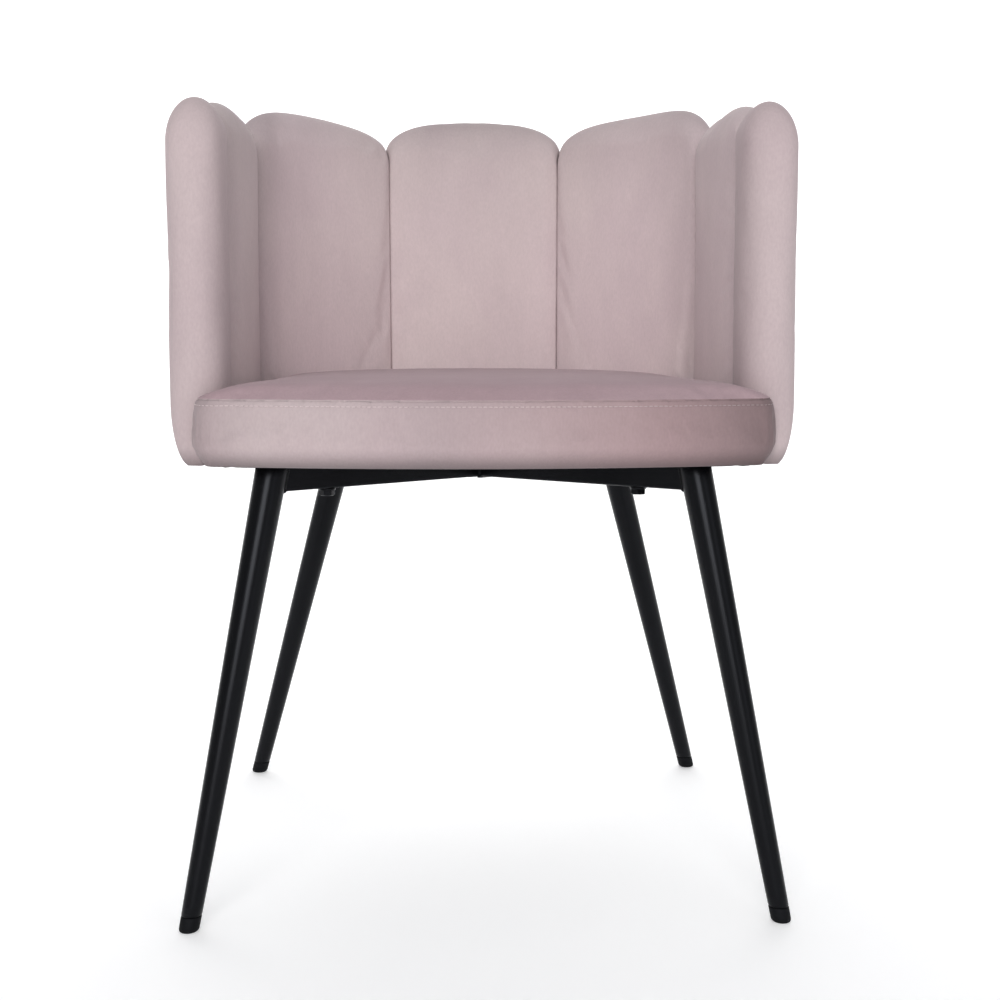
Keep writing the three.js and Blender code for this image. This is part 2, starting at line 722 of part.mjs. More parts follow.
function hexBolt() {
  const head = new THREE.CylinderGeometry(boltHeadRadius, boltHeadRadius, boltHeadHeight, 6);
  head.rotateX(Math.PI / 2);
  head.translate(0, 0, -boltHeadHeight / 2);
  return geometryOf(solid(head).add(uprightCylinder(0, 0, boltRadius, -boltHeadHeight / 2, boltLength)));
}

// A round piece from its half section, its axis upright.
function turned(profile, sides = smallSides) {
  const section = profile.map(([radius, height]) => new THREE.Vector2(radius, height));
  const geometry = new THREE.LatheGeometry(section, sides);
  geometry.rotateX(Math.PI / 2);
  return weld(geometry);
}

const washer = turned([
  [boltHole, 0], [washerRadius, 0], [washerRadius, washerThickness], [boltHole, washerThickness],
  [boltHole, 0],
]);
const teeNut = turned([
  [teeBore, teeBarrelFoot - teeSeat], [teeBarrelRadius, teeBarrelFoot - teeSeat], [teeBarrelRadius, 0],
  [teeFlangeRadius, 0], [teeFlangeRadius, teeFlangeThickness], [teeBore, teeFlangeThickness],
  [teeBore, teeBarrelFoot - teeSeat],
]);
const bolt = hexBolt();
for (const at of boltPlaces) {
  place(`bolt_${at.name}`, bolt.clone(), blackSteelLook).position.set(at.x, at.y, boltSeat);
  place(`washer_${at.name}`, washer.clone(), blackSteelLook).position.set(at.x, at.y, washerBottom);
  place(`tee_nut_${at.name}`, teeNut.clone(), zincLook).position.set(at.x, at.y, teeSeat);
}

// How far the hollow face of the shell stands in, over an angle's width, from its tangent at a share.
function standsIn(share) {
  const { outX, outY } = planAt(share, bracketBase);
  const heel = offsetPoint(share, bracketBase, -shellHalf);
  const line = wallLine(-shellHalf, bracketBase, 1).map((point) => point.sub(heel));
  const depths = line.slice(1).flatMap((end, number) => {
    const places = Array.from({ length: facetSamples }, (_, step) => (step + 1) / facetSamples);
    const points = places.map((place) => line[number].clone().lerp(end, place));
    const behind = points.filter(({ x, y }) => Math.hypot(x, y) < bracketWidth / 2);
    return behind.map(({ x, y }) => -(x * outX + y * outY));
  });
  return Math.max(...depths);
}

// Angle brackets and their screws, each in a group that stands on the board and faces the shell
const bracketShellGap = fitGap + Math.max(...bracketShares.map(standsIn));
const bracketFoot = innerPad - shellHalf - bracketShellGap - bracketSeatGap;
const shellScrewLength = bracketThickness + fitGap + bracketShellGap + shellThickness - screwTipMargin;
const boardScrewLength = bracketThickness + 2 * fitGap + boardThickness - screwTipMargin;
const screwHole = screwRadius + fitGap;
const footScrewPlace = -(bracketFoot + bracketThickness) / 2;

function angleBracket() {
  const shape = new THREE.Shape();
  shape.moveTo(0, 0);
  shape.lineTo(0, bracketRise);
  shape.lineTo(-bracketThickness, bracketRise);
  shape.lineTo(-bracketThickness, bracketThickness);
  shape.lineTo(-bracketFoot, bracketThickness);
  shape.lineTo(-bracketFoot, 0);
  const geometry = new THREE.ExtrudeGeometry(shape, { depth: bracketWidth, bevelEnabled: false });
  geometry.translate(0, 0, -bracketWidth / 2);
  geometry.rotateX(Math.PI / 2);
  geometry.rotateZ(Math.PI / 2);
  const footHole = uprightCylinder(0, footScrewPlace, screwHole, -cutOverrun, cutOverrun, screwSides);
  const riseHole = new THREE.CylinderGeometry(screwHole, screwHole, 2 * cutOverrun, screwSides);
  riseHole.translate(0, 0, screwHeight);
  return geometryOf(solid(geometry).subtract(footHole).subtract(solid(riseHole)));
}

const screw = (length) => turned([
  [0, -length], [screwRadius, -length], [screwRadius, 0], [screwHeadRadius, 0],
  [screwHeadRadius / 2, screwHeadHeight], [0, screwHeadHeight],
], screwSides);

const bracketNames = ['arm_left', 'flank_left', 'back', 'flank_right', 'arm_right'];
const bracketGeometry = angleBracket();
const screwTools = [];
bracketShares.forEach((share, number) => {
  const wall = planAt(share, bracketBase);
  const foot = offsetPoint(share, bracketBase, -(shellHalf + bracketShellGap));
  const group = new THREE.Group();
  group.position.copy(foot);
  group.rotation.z = Math.atan2(wall.outY, wall.outX) - Math.PI / 2;
  chair.add(group);
  const name = bracketNames[number];
  place(`angle_bracket_${name}`, bracketGeometry.clone(), zincLook, group);
  const boardScrew = place(`board_screw_${name}`, screw(boardScrewLength), zincLook, group);
  boardScrew.position.set(0, footScrewPlace, bracketThickness + fitGap);
  const shellScrew = place(`shell_screw_${name}`, screw(shellScrewLength), zincLook, group);
  shellScrew.position.set(0, -bracketThickness - fitGap, screwHeight);
  shellScrew.rotation.x = Math.PI / 2;
  for (const [mesh, length] of [[boardScrew, boardScrewLength], [shellScrew, shellScrewLength]]) {
    const tool = new THREE.CylinderGeometry(screwHole, screwHole, length + fitGap, screwSides);
    tool.rotateX(Math.PI / 2);
    tool.translate(0, 0, -(length + fitGap) / 2);
    mesh.updateWorldMatrix(true, false);
    screwTools.push(solid(tool.applyMatrix4(mesh.matrixWorld)));
  }
});

// Board, drilled for the tee nuts and the bracket screws, and the dust cover under it
const boardFrontInset = bandCurl + boardFrontClearance;
const withoutScrews = (body) => screwTools.reduce((left, tool) => left.subtract(tool), body);
const boardArmOffset = innerPad + seatWallGap + velvet + boardArmGap;
let board = basePanel(boardFrontInset, shellHalf + boardWallGap, boardArmOffset, boardBottom, boardTop);
board = drilled(board, teeHole, holeBottom, boardTop + cutOverrun);
board = drilled(board, teeFlangeRadius + fitGap, teeSeat - fitGap, boardTop + cutOverrun);
place('seat_board', geometryOf(withoutScrews(board)), plywoodLook);

const dust = basePanel(bandCurl + dustLap, hemReach - dustLap, innerPad + dustArmGap, dustBottom, dustTop);
place('dust_cover', geometryOf(drilled(dust, dustHoleRadius, holeBottom, holeTop)), dustLook);

// Seat cushion
const cushionIn = (depth) => cushionBody(depth).intersect(seatRoom(depth));
const hemOpening = prism(seatOutline(bandCurl + bandHem), 0, boardTop);
const cover = cushionIn(0).subtract(cushionIn(velvet)).subtract(hemOpening);
place('seat_cover', geometryOf(cover.subtract(belowBoardTop(boardTop + fitGap + velvet))), velvetLook);

const boardRoom = prism(seatOutline(boardFrontInset - fitGap), 0, boardTop + fitGap);
const foam = cushionIn(velvet + fitGap).subtract(boardRoom).subtract(belowBoardTop(boardTop + fitGap));
place('seat_foam', geometryOf(foam), foamLook);

// Back: the shell, the foam channels folded over it, and their velvet
place('back_shell', geometryOf(withoutScrews(shellSlab(0, 0))), plywoodLook);
const shellPlace = shellSlab(fitGap, cutOverrun);
for (const channel of channels) {
  place(`channel_foam_${channel.name}`, channelFoam(channel, shellPlace), foamLook);
  place(`channel_cover_${channel.name}`, channelCover(channel), velvetLook);
}

export default chair;
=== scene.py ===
"""Looks of a scallop back armchair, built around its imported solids. Metres, Z up, front towards -Y."""

import math

import bmesh
import bpy
import numpy as np
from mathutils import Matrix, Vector
from mathutils.bvhtree import BVHTree


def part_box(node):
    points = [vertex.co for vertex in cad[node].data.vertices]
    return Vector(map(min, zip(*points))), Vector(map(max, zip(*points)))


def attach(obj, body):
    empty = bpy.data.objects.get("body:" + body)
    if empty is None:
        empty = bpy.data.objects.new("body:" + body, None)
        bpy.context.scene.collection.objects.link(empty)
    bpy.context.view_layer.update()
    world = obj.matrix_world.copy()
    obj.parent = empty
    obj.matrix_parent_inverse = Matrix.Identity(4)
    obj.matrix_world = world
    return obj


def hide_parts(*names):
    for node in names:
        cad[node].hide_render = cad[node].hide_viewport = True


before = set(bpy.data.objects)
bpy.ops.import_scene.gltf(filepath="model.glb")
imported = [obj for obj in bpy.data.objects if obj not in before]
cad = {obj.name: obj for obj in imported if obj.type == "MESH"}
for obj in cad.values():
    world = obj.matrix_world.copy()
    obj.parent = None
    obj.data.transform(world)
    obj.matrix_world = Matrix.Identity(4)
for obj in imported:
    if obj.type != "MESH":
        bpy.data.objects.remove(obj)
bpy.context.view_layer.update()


# ---- Room: a plain pale floor that curves up behind the chair, a broad soft light in front of it and
# a little to the left, two weaker ones, and the photograph's viewpoint.
def stand_light(name, place, aim, size, power, colour):
    lamp = bpy.data.lights.new(name, "AREA")
    lamp.shape = "RECTANGLE"
    lamp.size, lamp.size_y = size
    lamp.energy = power
    lamp.color = colour
    holder = bpy.data.objects.new(name, lamp)
    holder.visible_camera = False
    holder.location = place
    holder.rotation_euler = (Vector(aim) - Vector(place)).to_track_quat("-Z", "Y").to_euler()
    bpy.context.scene.collection.objects.link(holder)


stand_light("key_light", (-1.0, -6.8, 2.2), (0, 0, 0.5), (3.6, 2.8), 280, (1.0, 0.985, 0.975))
stand_light("fill_light", (3.6, -4.0, 1.4), (0, 0, 0.5), (2.4, 2.4), 16, (0.95, 0.97, 1.0))
stand_light("back_light", (0.2, 2.4, 2.9), (0, 2.8, 0.2), (3.4, 1.8), 45, (1.0, 1.0, 1.0))


def add_node(tree, kind, given, result=0, **settings):
    """Adds a node to a tree and returns one of its results. What the node is given is linked to it
    if it is another node's result, or else set as a value."""
    node = tree.nodes.new(kind)
    for setting, choice in settings.items():
        setattr(node, setting, choice)
    for socket, value in given.items():
        if isinstance(value, bpy.types.NodeSocket):
            tree.links.new(value, node.inputs[socket])
        else:
            node.inputs[socket].default_value = value
    return node.outputs[result]


def spread(tree, value, low, high, out_low, out_high, **settings):
    """Spreads a value from the range low to high over another range, and holds it at the ends."""
    ends = {"From Min": low, "From Max": high, "To Min": out_low, "To Max": out_high}
    return add_node(tree, "ShaderNodeMapRange", {"Value": value, **ends}, "Result", **settings)


def part_of(tree, place, axis):
    return add_node(tree, "ShaderNodeSeparateXYZ", {"Vector": place}, axis)


def new_material(name, inputs):
    """A material with some inputs of its shader set; returns it with its tree and its shader."""
    material = bpy.data.materials.new(name)
    material.use_nodes = True
    shader = material.node_tree.nodes["Principled BSDF"]
    for socket, value in inputs.items():
        shader.inputs[socket].default_value = value
    return material, material.node_tree, shader


world = bpy.data.worlds.new("studio")
bpy.context.scene.world = world
world.use_nodes = True
sky = world.node_tree
sky_height = part_of(sky, add_node(sky, "ShaderNodeTexCoord", {}, "Generated"), "Z")
sky.links.new(spread(sky, sky_height, 0.1, 0.9, 0.42, 0.48), sky.nodes["Background"].inputs["Strength"])
sky.nodes["Background"].inputs["Color"].default_value = (0.95, 0.965, 1.0, 1)

sweep = [(-6.0, 0.0), (2.2, 0.0)]
sweep += [(2.2 + 1.2 * math.sin(t), 1.2 - 1.2 * math.cos(t)) for t in np.linspace(0.05, math.pi / 2, 24)]
sweep += [(3.4, 6.0)]
floor_mesh = bpy.data.meshes.new("studio_floor")
floor_mesh.from_pydata([(x, y, z) for y, z in sweep for x in (-7, 7)], [],
                       [(2 * k, 2 * k + 1, 2 * k + 3, 2 * k + 2) for k in range(len(sweep) - 1)])
floor_mesh.polygons.foreach_set("use_smooth", [True] * len(floor_mesh.polygons))
floor = bpy.data.objects.new("studio_floor", floor_mesh)
bpy.context.scene.collection.objects.link(floor)
floor_paint, floor_tree, floor_shader = new_material("pale_floor", {
    "Base Color": (0.93, 0.93, 0.93, 1), "Roughness": 0.9,
    "Emission Color": (1, 1, 1, 1), "Emission Strength": 0.26})
from_below = add_node(floor_tree, "ShaderNodeNewGeometry", {}, "Backfacing")
clear = add_node(floor_tree, "ShaderNodeBsdfTransparent", {}, "BSDF")
one_sided = add_node(floor_tree, "ShaderNodeMixShader",
                     {"Fac": from_below, 1: floor_shader.outputs["BSDF"], 2: clear}, "Shader")
floor_tree.links.new(one_sided, floor_tree.nodes["Material Output"].inputs["Surface"])
floor.data.materials.append(floor_paint)

camera_lens = bpy.data.cameras.new("photo_camera")
camera_lens.lens = 50.4
camera_lens.sensor_width = 36
camera = bpy.data.objects.new("photo_camera", camera_lens)
camera.location = (-0.0412, -1.477, 0.505)
camera.rotation_euler = (math.pi / 2 - 0.0966, 0, -0.0428)
bpy.context.scene.collection.objects.link(camera)
bpy.context.scene.camera = camera
bpy.context.scene.view_settings.view_transform = "Standard"


# ---- Velvet: a short cotton pile on a woven back, dusty blush. It is brushed up and down, so it has
# soft cloudy patches where the pile lies differently, and a little sheen where it turns away.
def srgb(red, green, blue):
    linear = [((c / 255 + 0.055) / 1.055) ** 2.4 for c in (red, green, blue)]
    return (*linear, 1)


def object_place(tree):
    return add_node(tree, "ShaderNodeTexCoord", {}, "Object")


def noise(tree, place, scale, detail=2, distortion=0):
    given = {"Vector": place, "Scale": scale, "Detail": detail, "Distortion": distortion}
    return add_node(tree, "ShaderNodeTexNoise", given, "Fac")


def two_tones(tree, factor, first, second):
    given = {"Factor": factor, "A": first, "B": second}
    return add_node(tree, "ShaderNodeMix", given, "Result", data_type="RGBA")


def scaled(tree, tone, value):
    return add_node(tree, "ShaderNodeVectorMath", {0: tone, "Scale": value}, "Vector", operation="SCALE")


def bumped(tree, height, strength, distance, under=None):
    given = {"Height": height, "Strength": strength, "Distance": distance}
    if under is not None:
        given["Normal"] = under
    return add_node(tree, "ShaderNodeBump", given, "Normal")


def velvet(name, lit, shaded, tone_and_shade_across=None, tone_and_shade_up=None, painted_shade_colour=None):
    """Velvet in cloudy patches between two tones. Curves of relative tone from left to right and from low
    to high darken and lighten it, partly for how the pile lies and partly as painted light and shade. A
    given colour deepens it towards the right, and it is darker low down where the cloth turns under: both
    are painted shade."""
    cloth, tree, shader = new_material(name, {
        "Roughness": 0.92, "Specular IOR Level": 0.18,
        "Sheen Weight": 0.1, "Sheen Roughness": 0.38, "Sheen Tint": (1.0, 0.96, 0.97, 1)})
    place = object_place(tree)

    def cloud(scale, stretch, detail, distortion):
        stretched = add_node(tree, "ShaderNodeMapping", {"Vector": place, "Scale": stretch}, "Vector")
        return noise(tree, stretched, scale, detail, distortion)

    def times(value, other):
        return add_node(tree, "ShaderNodeMath", {0: value, 1: other}, "Value", operation="MULTIPLY")

    patches = spread(tree, cloud(7, (1, 1, 0.75), 3, 0.5), 0.36, 0.64, 0, 1)
    tone = two_tones(tree, patches, shaded, lit)
    brushed = spread(tree, cloud(26, (1, 1, 0.3), 4, 0.3), 0.3, 0.7, 0.975, 1.025)
    crushed = spread(tree, cloud(60, (1, 1, 0.6), 3, 1.2), 0.55, 0.78, 1.0, 1.03)
    weave = spread(tree, cloud(520, (1, 1, 0.45), 2, 0), 0.3, 0.7, 0.965, 1.035)
    across, up = part_of(tree, place, "X"), part_of(tree, place, "Z")
    # Painted shade: towards the right the colour deepens and reddens to a given colour, as in the shade
    # beside the right arm
    if painted_shade_colour:
        tone = two_tones(tree, spread(tree, across, -0.05, 0.16, 0, 1), tone, painted_shade_colour)
    # Painted shade: the velvet gets darker towards the seat's underside, where the cloth turns under
    painted_shade_under = spread(tree, up, 0.410, 0.434, 0.42, 1, interpolation_type="SMOOTHSTEP")
    value = times(times(times(brushed, crushed), weave), painted_shade_under)
    # Curves of relative tone from left to right and from low to high: partly how the pile lies, partly
    # painted light and shade
    for along, steps in ((across, tone_and_shade_across), (up, tone_and_shade_up)):
        if not steps:
            continue
        low, high = steps[0][0], steps[-1][0]
        share = spread(tree, along, low, high, 0, 1)
        tones = add_node(tree, "ShaderNodeFloatCurve", {"Value": share}, "Value")
        mapping = tones.node.mapping
        curve = mapping.curves[0]
        spots = [((where - low) / (high - low), tone_there / 2) for where, tone_there in steps]
        curve.points[0].location, curve.points[-1].location = spots[0], spots[-1]
        for spot in spots[1:-1]:
            curve.points.new(*spot)
        mapping.update()
        value = times(value, spread(tree, tones, 0, 1, 0, 2))
    tree.links.new(scaled(tree, tone, value), shader.inputs["Base Color"])
    pile = bumped(tree, cloud(1300, (1, 1, 0.7), 2, 0), 0.35, 0.0004)
    crush = bumped(tree, cloud(48, (1, 1, 0.7), 3, 0.8), 0.22, 0.0016, pile)
    tree.links.new(crush, shader.inputs["Normal"])
    return cloth


def mesh_piece(name, points, faces, material=None, smooth=True):
    mesh = bpy.data.meshes.new(name)
    mesh.from_pydata([tuple(p) for p in points], [], faces)
    mesh.update()
    if material:
        mesh.materials.append(material)
    if smooth:
        mesh.polygons.foreach_set("use_smooth", [True] * len(mesh.polygons))
    piece = bpy.data.objects.new(name, mesh)
    bpy.context.scene.collection.objects.link(piece)
    return piece


def grid_faces(columns, rows, start=0, flip=False):
    faces = []
    for c in range(columns - 1):
        for r in range(rows - 1):
            a = start + c * rows + r
            quad = (a, a + rows, a + rows + 1, a + 1)
            faces.append(quad[::-1] if flip else quad)
    return faces


# ---- Back: seven upright channels of foam folded over a bent plywood shell, each in its own sewn
# panel of velvet that is drawn in at the seams and arched over at the top like a petal. The velvet
# is pulled round the lower edge and tacked under the seat board.
body_bottom, centre_rise, crown_nose = 0.414, 0.385, 0.038
back_half_span, arm_half_span, arm_reach = 0.253, 0.2605, 0.217
back_reach, back_rake = 0.259, 0.028
velvet_thick, velvet_gap = 0.0012, 0.0006
pad, pad_foot, seam_nose = 0.026, 0.4658, 0.016
curl_depth, curl_height, hem_reach, arm_slit = 0.018, 0.056, 0.022, 0.0001


def plan_table(reach):
    turn = np.linspace(math.pi / 2, 0, 1500)
    points = np.column_stack([back_half_span * np.cos(turn), reach * np.sin(turn)])
    arm = np.linspace(0, 1, 400)[1:, None]
    reach_out = np.array([arm_half_span - back_half_span, -arm_reach])
    straight = np.array([back_half_span, 0]) + arm * reach_out
    points = np.vstack([points, straight])
    run = np.concatenate([[0], np.cumsum(np.linalg.norm(np.diff(points, axis=0), axis=1))])
    return points, run / run[-1], run[-1]


foot_line, foot_share, half_length = plan_table(back_reach - back_rake)
shoulder_line, shoulder_share, _ = plan_table(back_reach)


def on_wall(share, height, offset):
    """Points at shares along the plan line (-1 left arm, 0 back, 1 right arm), outward by offset."""
    share, height, offset = np.broadcast_arrays(*(np.asarray(v, float) for v in (share, height, offset)))
    side = np.where(share < 0, -1.0, 1.0)
    rise = (height - body_bottom) / (centre_rise - crown_nose)

    def at(along):
        low = np.stack([np.interp(along, foot_share, foot_line[:, k]) for k in (0, 1)], -1)
        high = np.stack([np.interp(along, shoulder_share, shoulder_line[:, k]) for k in (0, 1)], -1)
        return low + (high - low) * rise[..., None]

    along = np.minimum(np.abs(share), 1)
    step = 0.002
    before, after = at(np.maximum(along - step, 0)), at(np.minimum(along + step, 1))
    way = after - before
    way /= np.linalg.norm(way, axis=-1, keepdims=True)
    point = at(along)
    x = side * (point[..., 0] - way[..., 1] * offset)
    y = point[..., 1] + way[..., 0] * offset
    return np.stack([x, y, height], -1)


# How thick the padding still is at a seam: drawn in hard but for the first seam behind an arm's front
seam_pads = {0.175: 0.0115, 0.56: 0.0115, 0.88: 0.0195}

# Each channel: first and last share, its top, the notch on its left and on its right (None: arm end)
petals = {
    "front_left": (-1.0, -0.88, 0.330, None, 0.316),
    "side_left": (-0.88, -0.56, 0.344, 0.316, 0.324),
    "flank_left": (-0.56, -0.175, 0.376, 0.324, 0.341),
    "centre": (-0.175, 0.175, 0.385, 0.341, 0.341),
    "flank_right": (0.175, 0.56, 0.379, 0.341, 0.326),
    "side_right": (0.56, 0.88, 0.344, 0.324, 0.316),
    "front_right": (0.88, 1.0, 0.330, 0.316, None),
}
arm_end_rise = 0.272

# Sewn by hand, so the tops are not alike: the larger, the squarer a top is on its left and its right
crests = {"flank_left": (2.0, 2.5), "flank_right": (3.3, 3.0)}


def full(across, bend, ease):
    """1 in the middle and 0 at both edges: a larger bend is flatter, a smaller ease is fuller."""
    return np.maximum(1 - np.abs(across) ** bend, 0) ** ease


def padding(petal, across, depth):
    """How swollen and how thick a channel is at a place across it: an even bow from seam to seam,
    that dips quickly to the thread in the last few millimetres."""
    side = 3 if across < 0 else 4
    if petals[petal][side] is None:
        swell = full(across, 3.6, 0.5)
        return swell, (pad - depth) * swell
    edge = seam_pads[round(abs(petals[petal][side - 3]), 3)] - depth
    swell = 0.76 * full(across, 2, 1) + 0.24 * full(across, 12, 0.5)
    return swell, edge + (pad - depth - edge) * swell


def petal_section(petal, across, depth):
    """Rows of (offset, height) down the inner side, over the top and down the outer side."""
    _, _, rise, left, right = petals[petal]
    bound = left if across < 0 else right
    is_arm_end = bound is None
    swell, thick = padding(petal, across, depth)
    edge_nose = 0 if is_arm_end else seam_nose
    nose = edge_nose + (crown_nose - edge_nose) * swell
    low_top = arm_end_rise if is_arm_end else bound
    crest = crests.get(petal, (2.5, 2.5))[0 if across < 0 else 1]
    top = body_bottom + low_top + (rise - low_top) * full(across, crest, 0.5) - depth
    turn = np.linspace(0, math.pi / 2, 15)[1:]
    over = [(thick * math.sin(t), top - nose * (1 - math.cos(t))) for t in turn]
    low = body_bottom + depth

    def curled(hem):
        drawn = curl_depth * max(thick - 0.006, 0) / 0.020
        heights = np.linspace(top - nose, low + curl_height, 52)[1:-1]
        rows = [(thick, h) for h in heights]
        for t in np.linspace(0, math.pi / 2, 14):
            rows.append((thick - drawn * (1 - math.cos(t)), low + curl_height * (1 - math.sin(t))))
        last = rows[-1][0]
        rows += [(last + (hem - last) * k / 5, low) for k in range(1, 6)]
        return rows

    slit = arm_slit * thick / pad
    if left is None or right is None:
        inner, outer = curled(slit), curled(slit)
    else:
        inner = [(thick, h) for h in np.linspace(top - nose, pad_foot, 62)[1:]]
        outer = curled(-hem_reach)
    inner = [(-o, h) for o, h in over + inner][::-1]
    return np.array(inner + [(0, top)] + over + outer)


def petal_skin(petal, depth, cell):
    """Columns of points over a channel, evenly spaced along the swell that it shows in plan."""
    first, last, _, left, right = petals[petal]
    trim = 0.00006 / half_length
    first, last = (first + (depth / half_length if left is None else trim),
                   last - (depth / half_length if right is None else trim))
    fine = -np.cos(np.linspace(0, math.pi, 1501))
    thick = np.array([padding(petal, across, depth)[1] for across in fine])
    steps = np.hypot(np.diff(fine) * (last - first) * half_length / 2, np.diff(thick))
    run = np.concatenate([[0], np.cumsum(steps)])
    skin = []
    for across in np.interp(np.linspace(0, run[-1], int(round(run[-1] / cell)) + 1), run, fine):
        section = petal_section(petal, across, depth)
        share = first + (last - first) * (across + 1) / 2
        skin.append(on_wall(share, section[:, 1], section[:, 0]))
    return np.array(skin)


def joined(points, faces, mark):
    """Joins points that lie in one place; a face that loses a corner by it becomes a triangle."""
    _, first, place = np.unique(np.round(points, 6), axis=0, return_index=True, return_inverse=True)
    place = place.ravel()
    kept = []
    for face in faces:
        corners = [int(place[v]) for v in face]
        corners = [v for k, v in enumerate(corners) if v != corners[k - 1]]
        if len(set(corners)) > 2:
            kept.append(corners)
    return points[first], kept, mark[first]


def settle_velvet(piece, held, pressure, slack, cap):
    """Lets the velvet swell over its foam and settle, as a cloth that is held at its seams."""
    start = np.array([v.co for v in piece.data.vertices])
    group = piece.vertex_groups.new(name="sewn")
    group.add([int(i) for i in np.nonzero(held)[0]], 1.0, "REPLACE")
    cloth = piece.modifiers.new("settle", "CLOTH")
    cloth.settings.quality = 5
    cloth.settings.mass = 0.3
    cloth.settings.tension_stiffness = cloth.settings.compression_stiffness = 12
    cloth.settings.shear_stiffness = 6
    cloth.settings.bending_stiffness = 0.35
    cloth.settings.shrink_min = cloth.settings.shrink_max = -slack
    cloth.settings.use_pressure = True
    cloth.settings.uniform_pressure_force = pressure
    cloth.settings.vertex_group_mass = "sewn"
    cloth.settings.effector_weights.gravity = 0
    cloth.collision_settings.use_collision = False
    for step in range(1, 21):
        bpy.context.scene.frame_set(step)
    shape = piece.evaluated_get(bpy.context.evaluated_depsgraph_get()).data
    settled = np.array([v.co for v in shape.vertices])
    bpy.context.scene.frame_set(1)
    piece.modifiers.remove(cloth)
    piece.vertex_groups.clear()
    move = settled - start
    length = np.linalg.norm(move, axis=1, keepdims=True)
    move *= cap * np.tanh(length / cap) / np.maximum(length, 1e-9)
    piece.data.vertices.foreach_set("co", (start + move).ravel())
    piece.data.update()


def baked(piece):
    """Makes what a piece's modifiers do to it its own mesh, and takes the modifiers away."""
    graph = bpy.context.evaluated_depsgraph_get()
    shape = bpy.data.meshes.new_from_object(piece.evaluated_get(graph))
    piece.modifiers.clear()
    former, name = piece.data, piece.data.name
    piece.data = shape
    bpy.data.meshes.remove(former)
    shape.name = name


def subdivided(piece):
    smooth = piece.modifiers.new("smooth", "SUBSURF")
    smooth.levels = smooth.render_levels = 1
    smooth.use_limit_surface = False
    baked(piece)


# Relative tones on the back from left to right and from low to high: partly how the pile lies, partly
# painted light and shade (darker inner arms and tops, lighter low down)
back_tone_and_shade_across = [(-0.285, 0.82), (-0.24, 0.82), (-0.2, 1.1), (-0.1, 0.98), (0.1, 0.98), (0.2, 1.07),
                  (0.245, 0.92), (0.285, 0.9)]
back_tone_and_shade_up = [(0.41, 1.14), (0.55, 1.14), (0.72, 1.0), (0.765, 0.88), (0.80, 0.7)]
# The back's velvet is the same cloth as the arms', given lighter tones: painted light on the back
back_velvet = velvet("velvet_back", srgb(202, 187, 187), srgb(196, 180, 182), back_tone_and_shade_across, back_tone_and_shade_up)
arm_velvet = velvet("velvet_arm", srgb(182, 167, 168), srgb(177, 161, 163))
for petal, (first, last, _, left, right) in petals.items():
    skin = petal_skin(petal, depth=velvet_gap, cell=0.0050)
    columns, rows = skin.shape[:2]
    held = np.zeros((columns, rows), bool)
    held[:, :3] = held[:, -8:] = True
    if left is not None:
        held[0] = True
    if right is not None:
        held[-1] = True
    points, faces, held = joined(skin.reshape(-1, 3), grid_faces(columns, rows), held.ravel())
    if left is None or right is None:
        cloth = mesh_piece("channel_pad_" + petal, points, faces, arm_velvet)
        settle_velvet(cloth, held, pressure=1.2, slack=0.003, cap=0.0010)
    else:
        cloth = mesh_piece("channel_pad_" + petal, points, faces, back_velvet)
        settle_velvet(cloth, held, pressure=2.5, slack=0.004, cap=0.0021)
    subdivided(cloth)
    backing = cloth.modifiers.new("backing", "SOLIDIFY")
    backing.thickness, backing.offset = velvet_thick, -1
    baked(cloth)
    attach(cloth, "root")
    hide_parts("channel_cover_" + petal, "channel_foam_" + petal)

# ---- Seat: a cut foam pad on the board in a sewn velvet cover, with a bowed front and a band below.
# The seam between top panel and band is topstitched; the band is pulled under the board and stapled.
front_edge, band_height, rear_rise, crown = -0.285, 0.059, 0.014, 0.014
seat_half, seat_bow, seat_corner, seat_depth = 0.263, 0.037, 0.028, 0.570
band_curl, band_curl_height, seam_round = 0.024, 0.032, 0.003
board_top, foam_gap = 0.4305, 0.0008
seat_middle = np.array([0.0, -0.05])
# Relative tones along the band from left to right: partly how the pile lies, partly painted shade,
# darkest at the ends; towards the right the colour deepens further with painted shade
band_tone_and_shade = [(-0.27, 0.44), (-0.22, 0.9), (-0.14, 0.96), (-0.04, 0.87), (0.06, 0.81), (0.18, 0.6),
                (0.25, 0.4), (0.27, 0.36)]
band_velvet = velvet("velvet_band", srgb(182, 167, 168), srgb(177, 160, 162), tone_and_shade_across=band_tone_and_shade,
                     painted_shade_colour=srgb(183, 157, 159))
# The top panel is darker than the band: partly its pile lying otherwise, partly painted shade on a top
# seen at a low angle and lit little from above
top_velvet = velvet("velvet_seat_top", srgb(169, 146, 151), srgb(164, 141, 146))


def seam_height(y):
    return body_bottom + band_height + rear_rise * (y - front_edge) / seat_depth


def bowed_front(inset, across, turn):
    """The right half of the seat's front edge, and the corner it ends in, drawn in by an inset."""
    half, front, radius = seat_half - inset, front_edge + inset, seat_corner - inset / 2
    corner_x = half - radius
    corner_y = front + seat_bow * (corner_x / half) ** 2
    side_y = corner_y + 2 * seat_bow * corner_x / half ** 2 * radius
    x = np.linspace(0, corner_x, across, endpoint=False)
    bowed = np.column_stack([x, front + seat_bow * (x / half) ** 2])
    start, pull, end = np.array([(corner_x, corner_y), (half, side_y), (half, side_y + radius)])
    t = turn[:, None]
    return bowed, (1 - t) ** 2 * start + 2 * t * (1 - t) * pull + t ** 2 * end


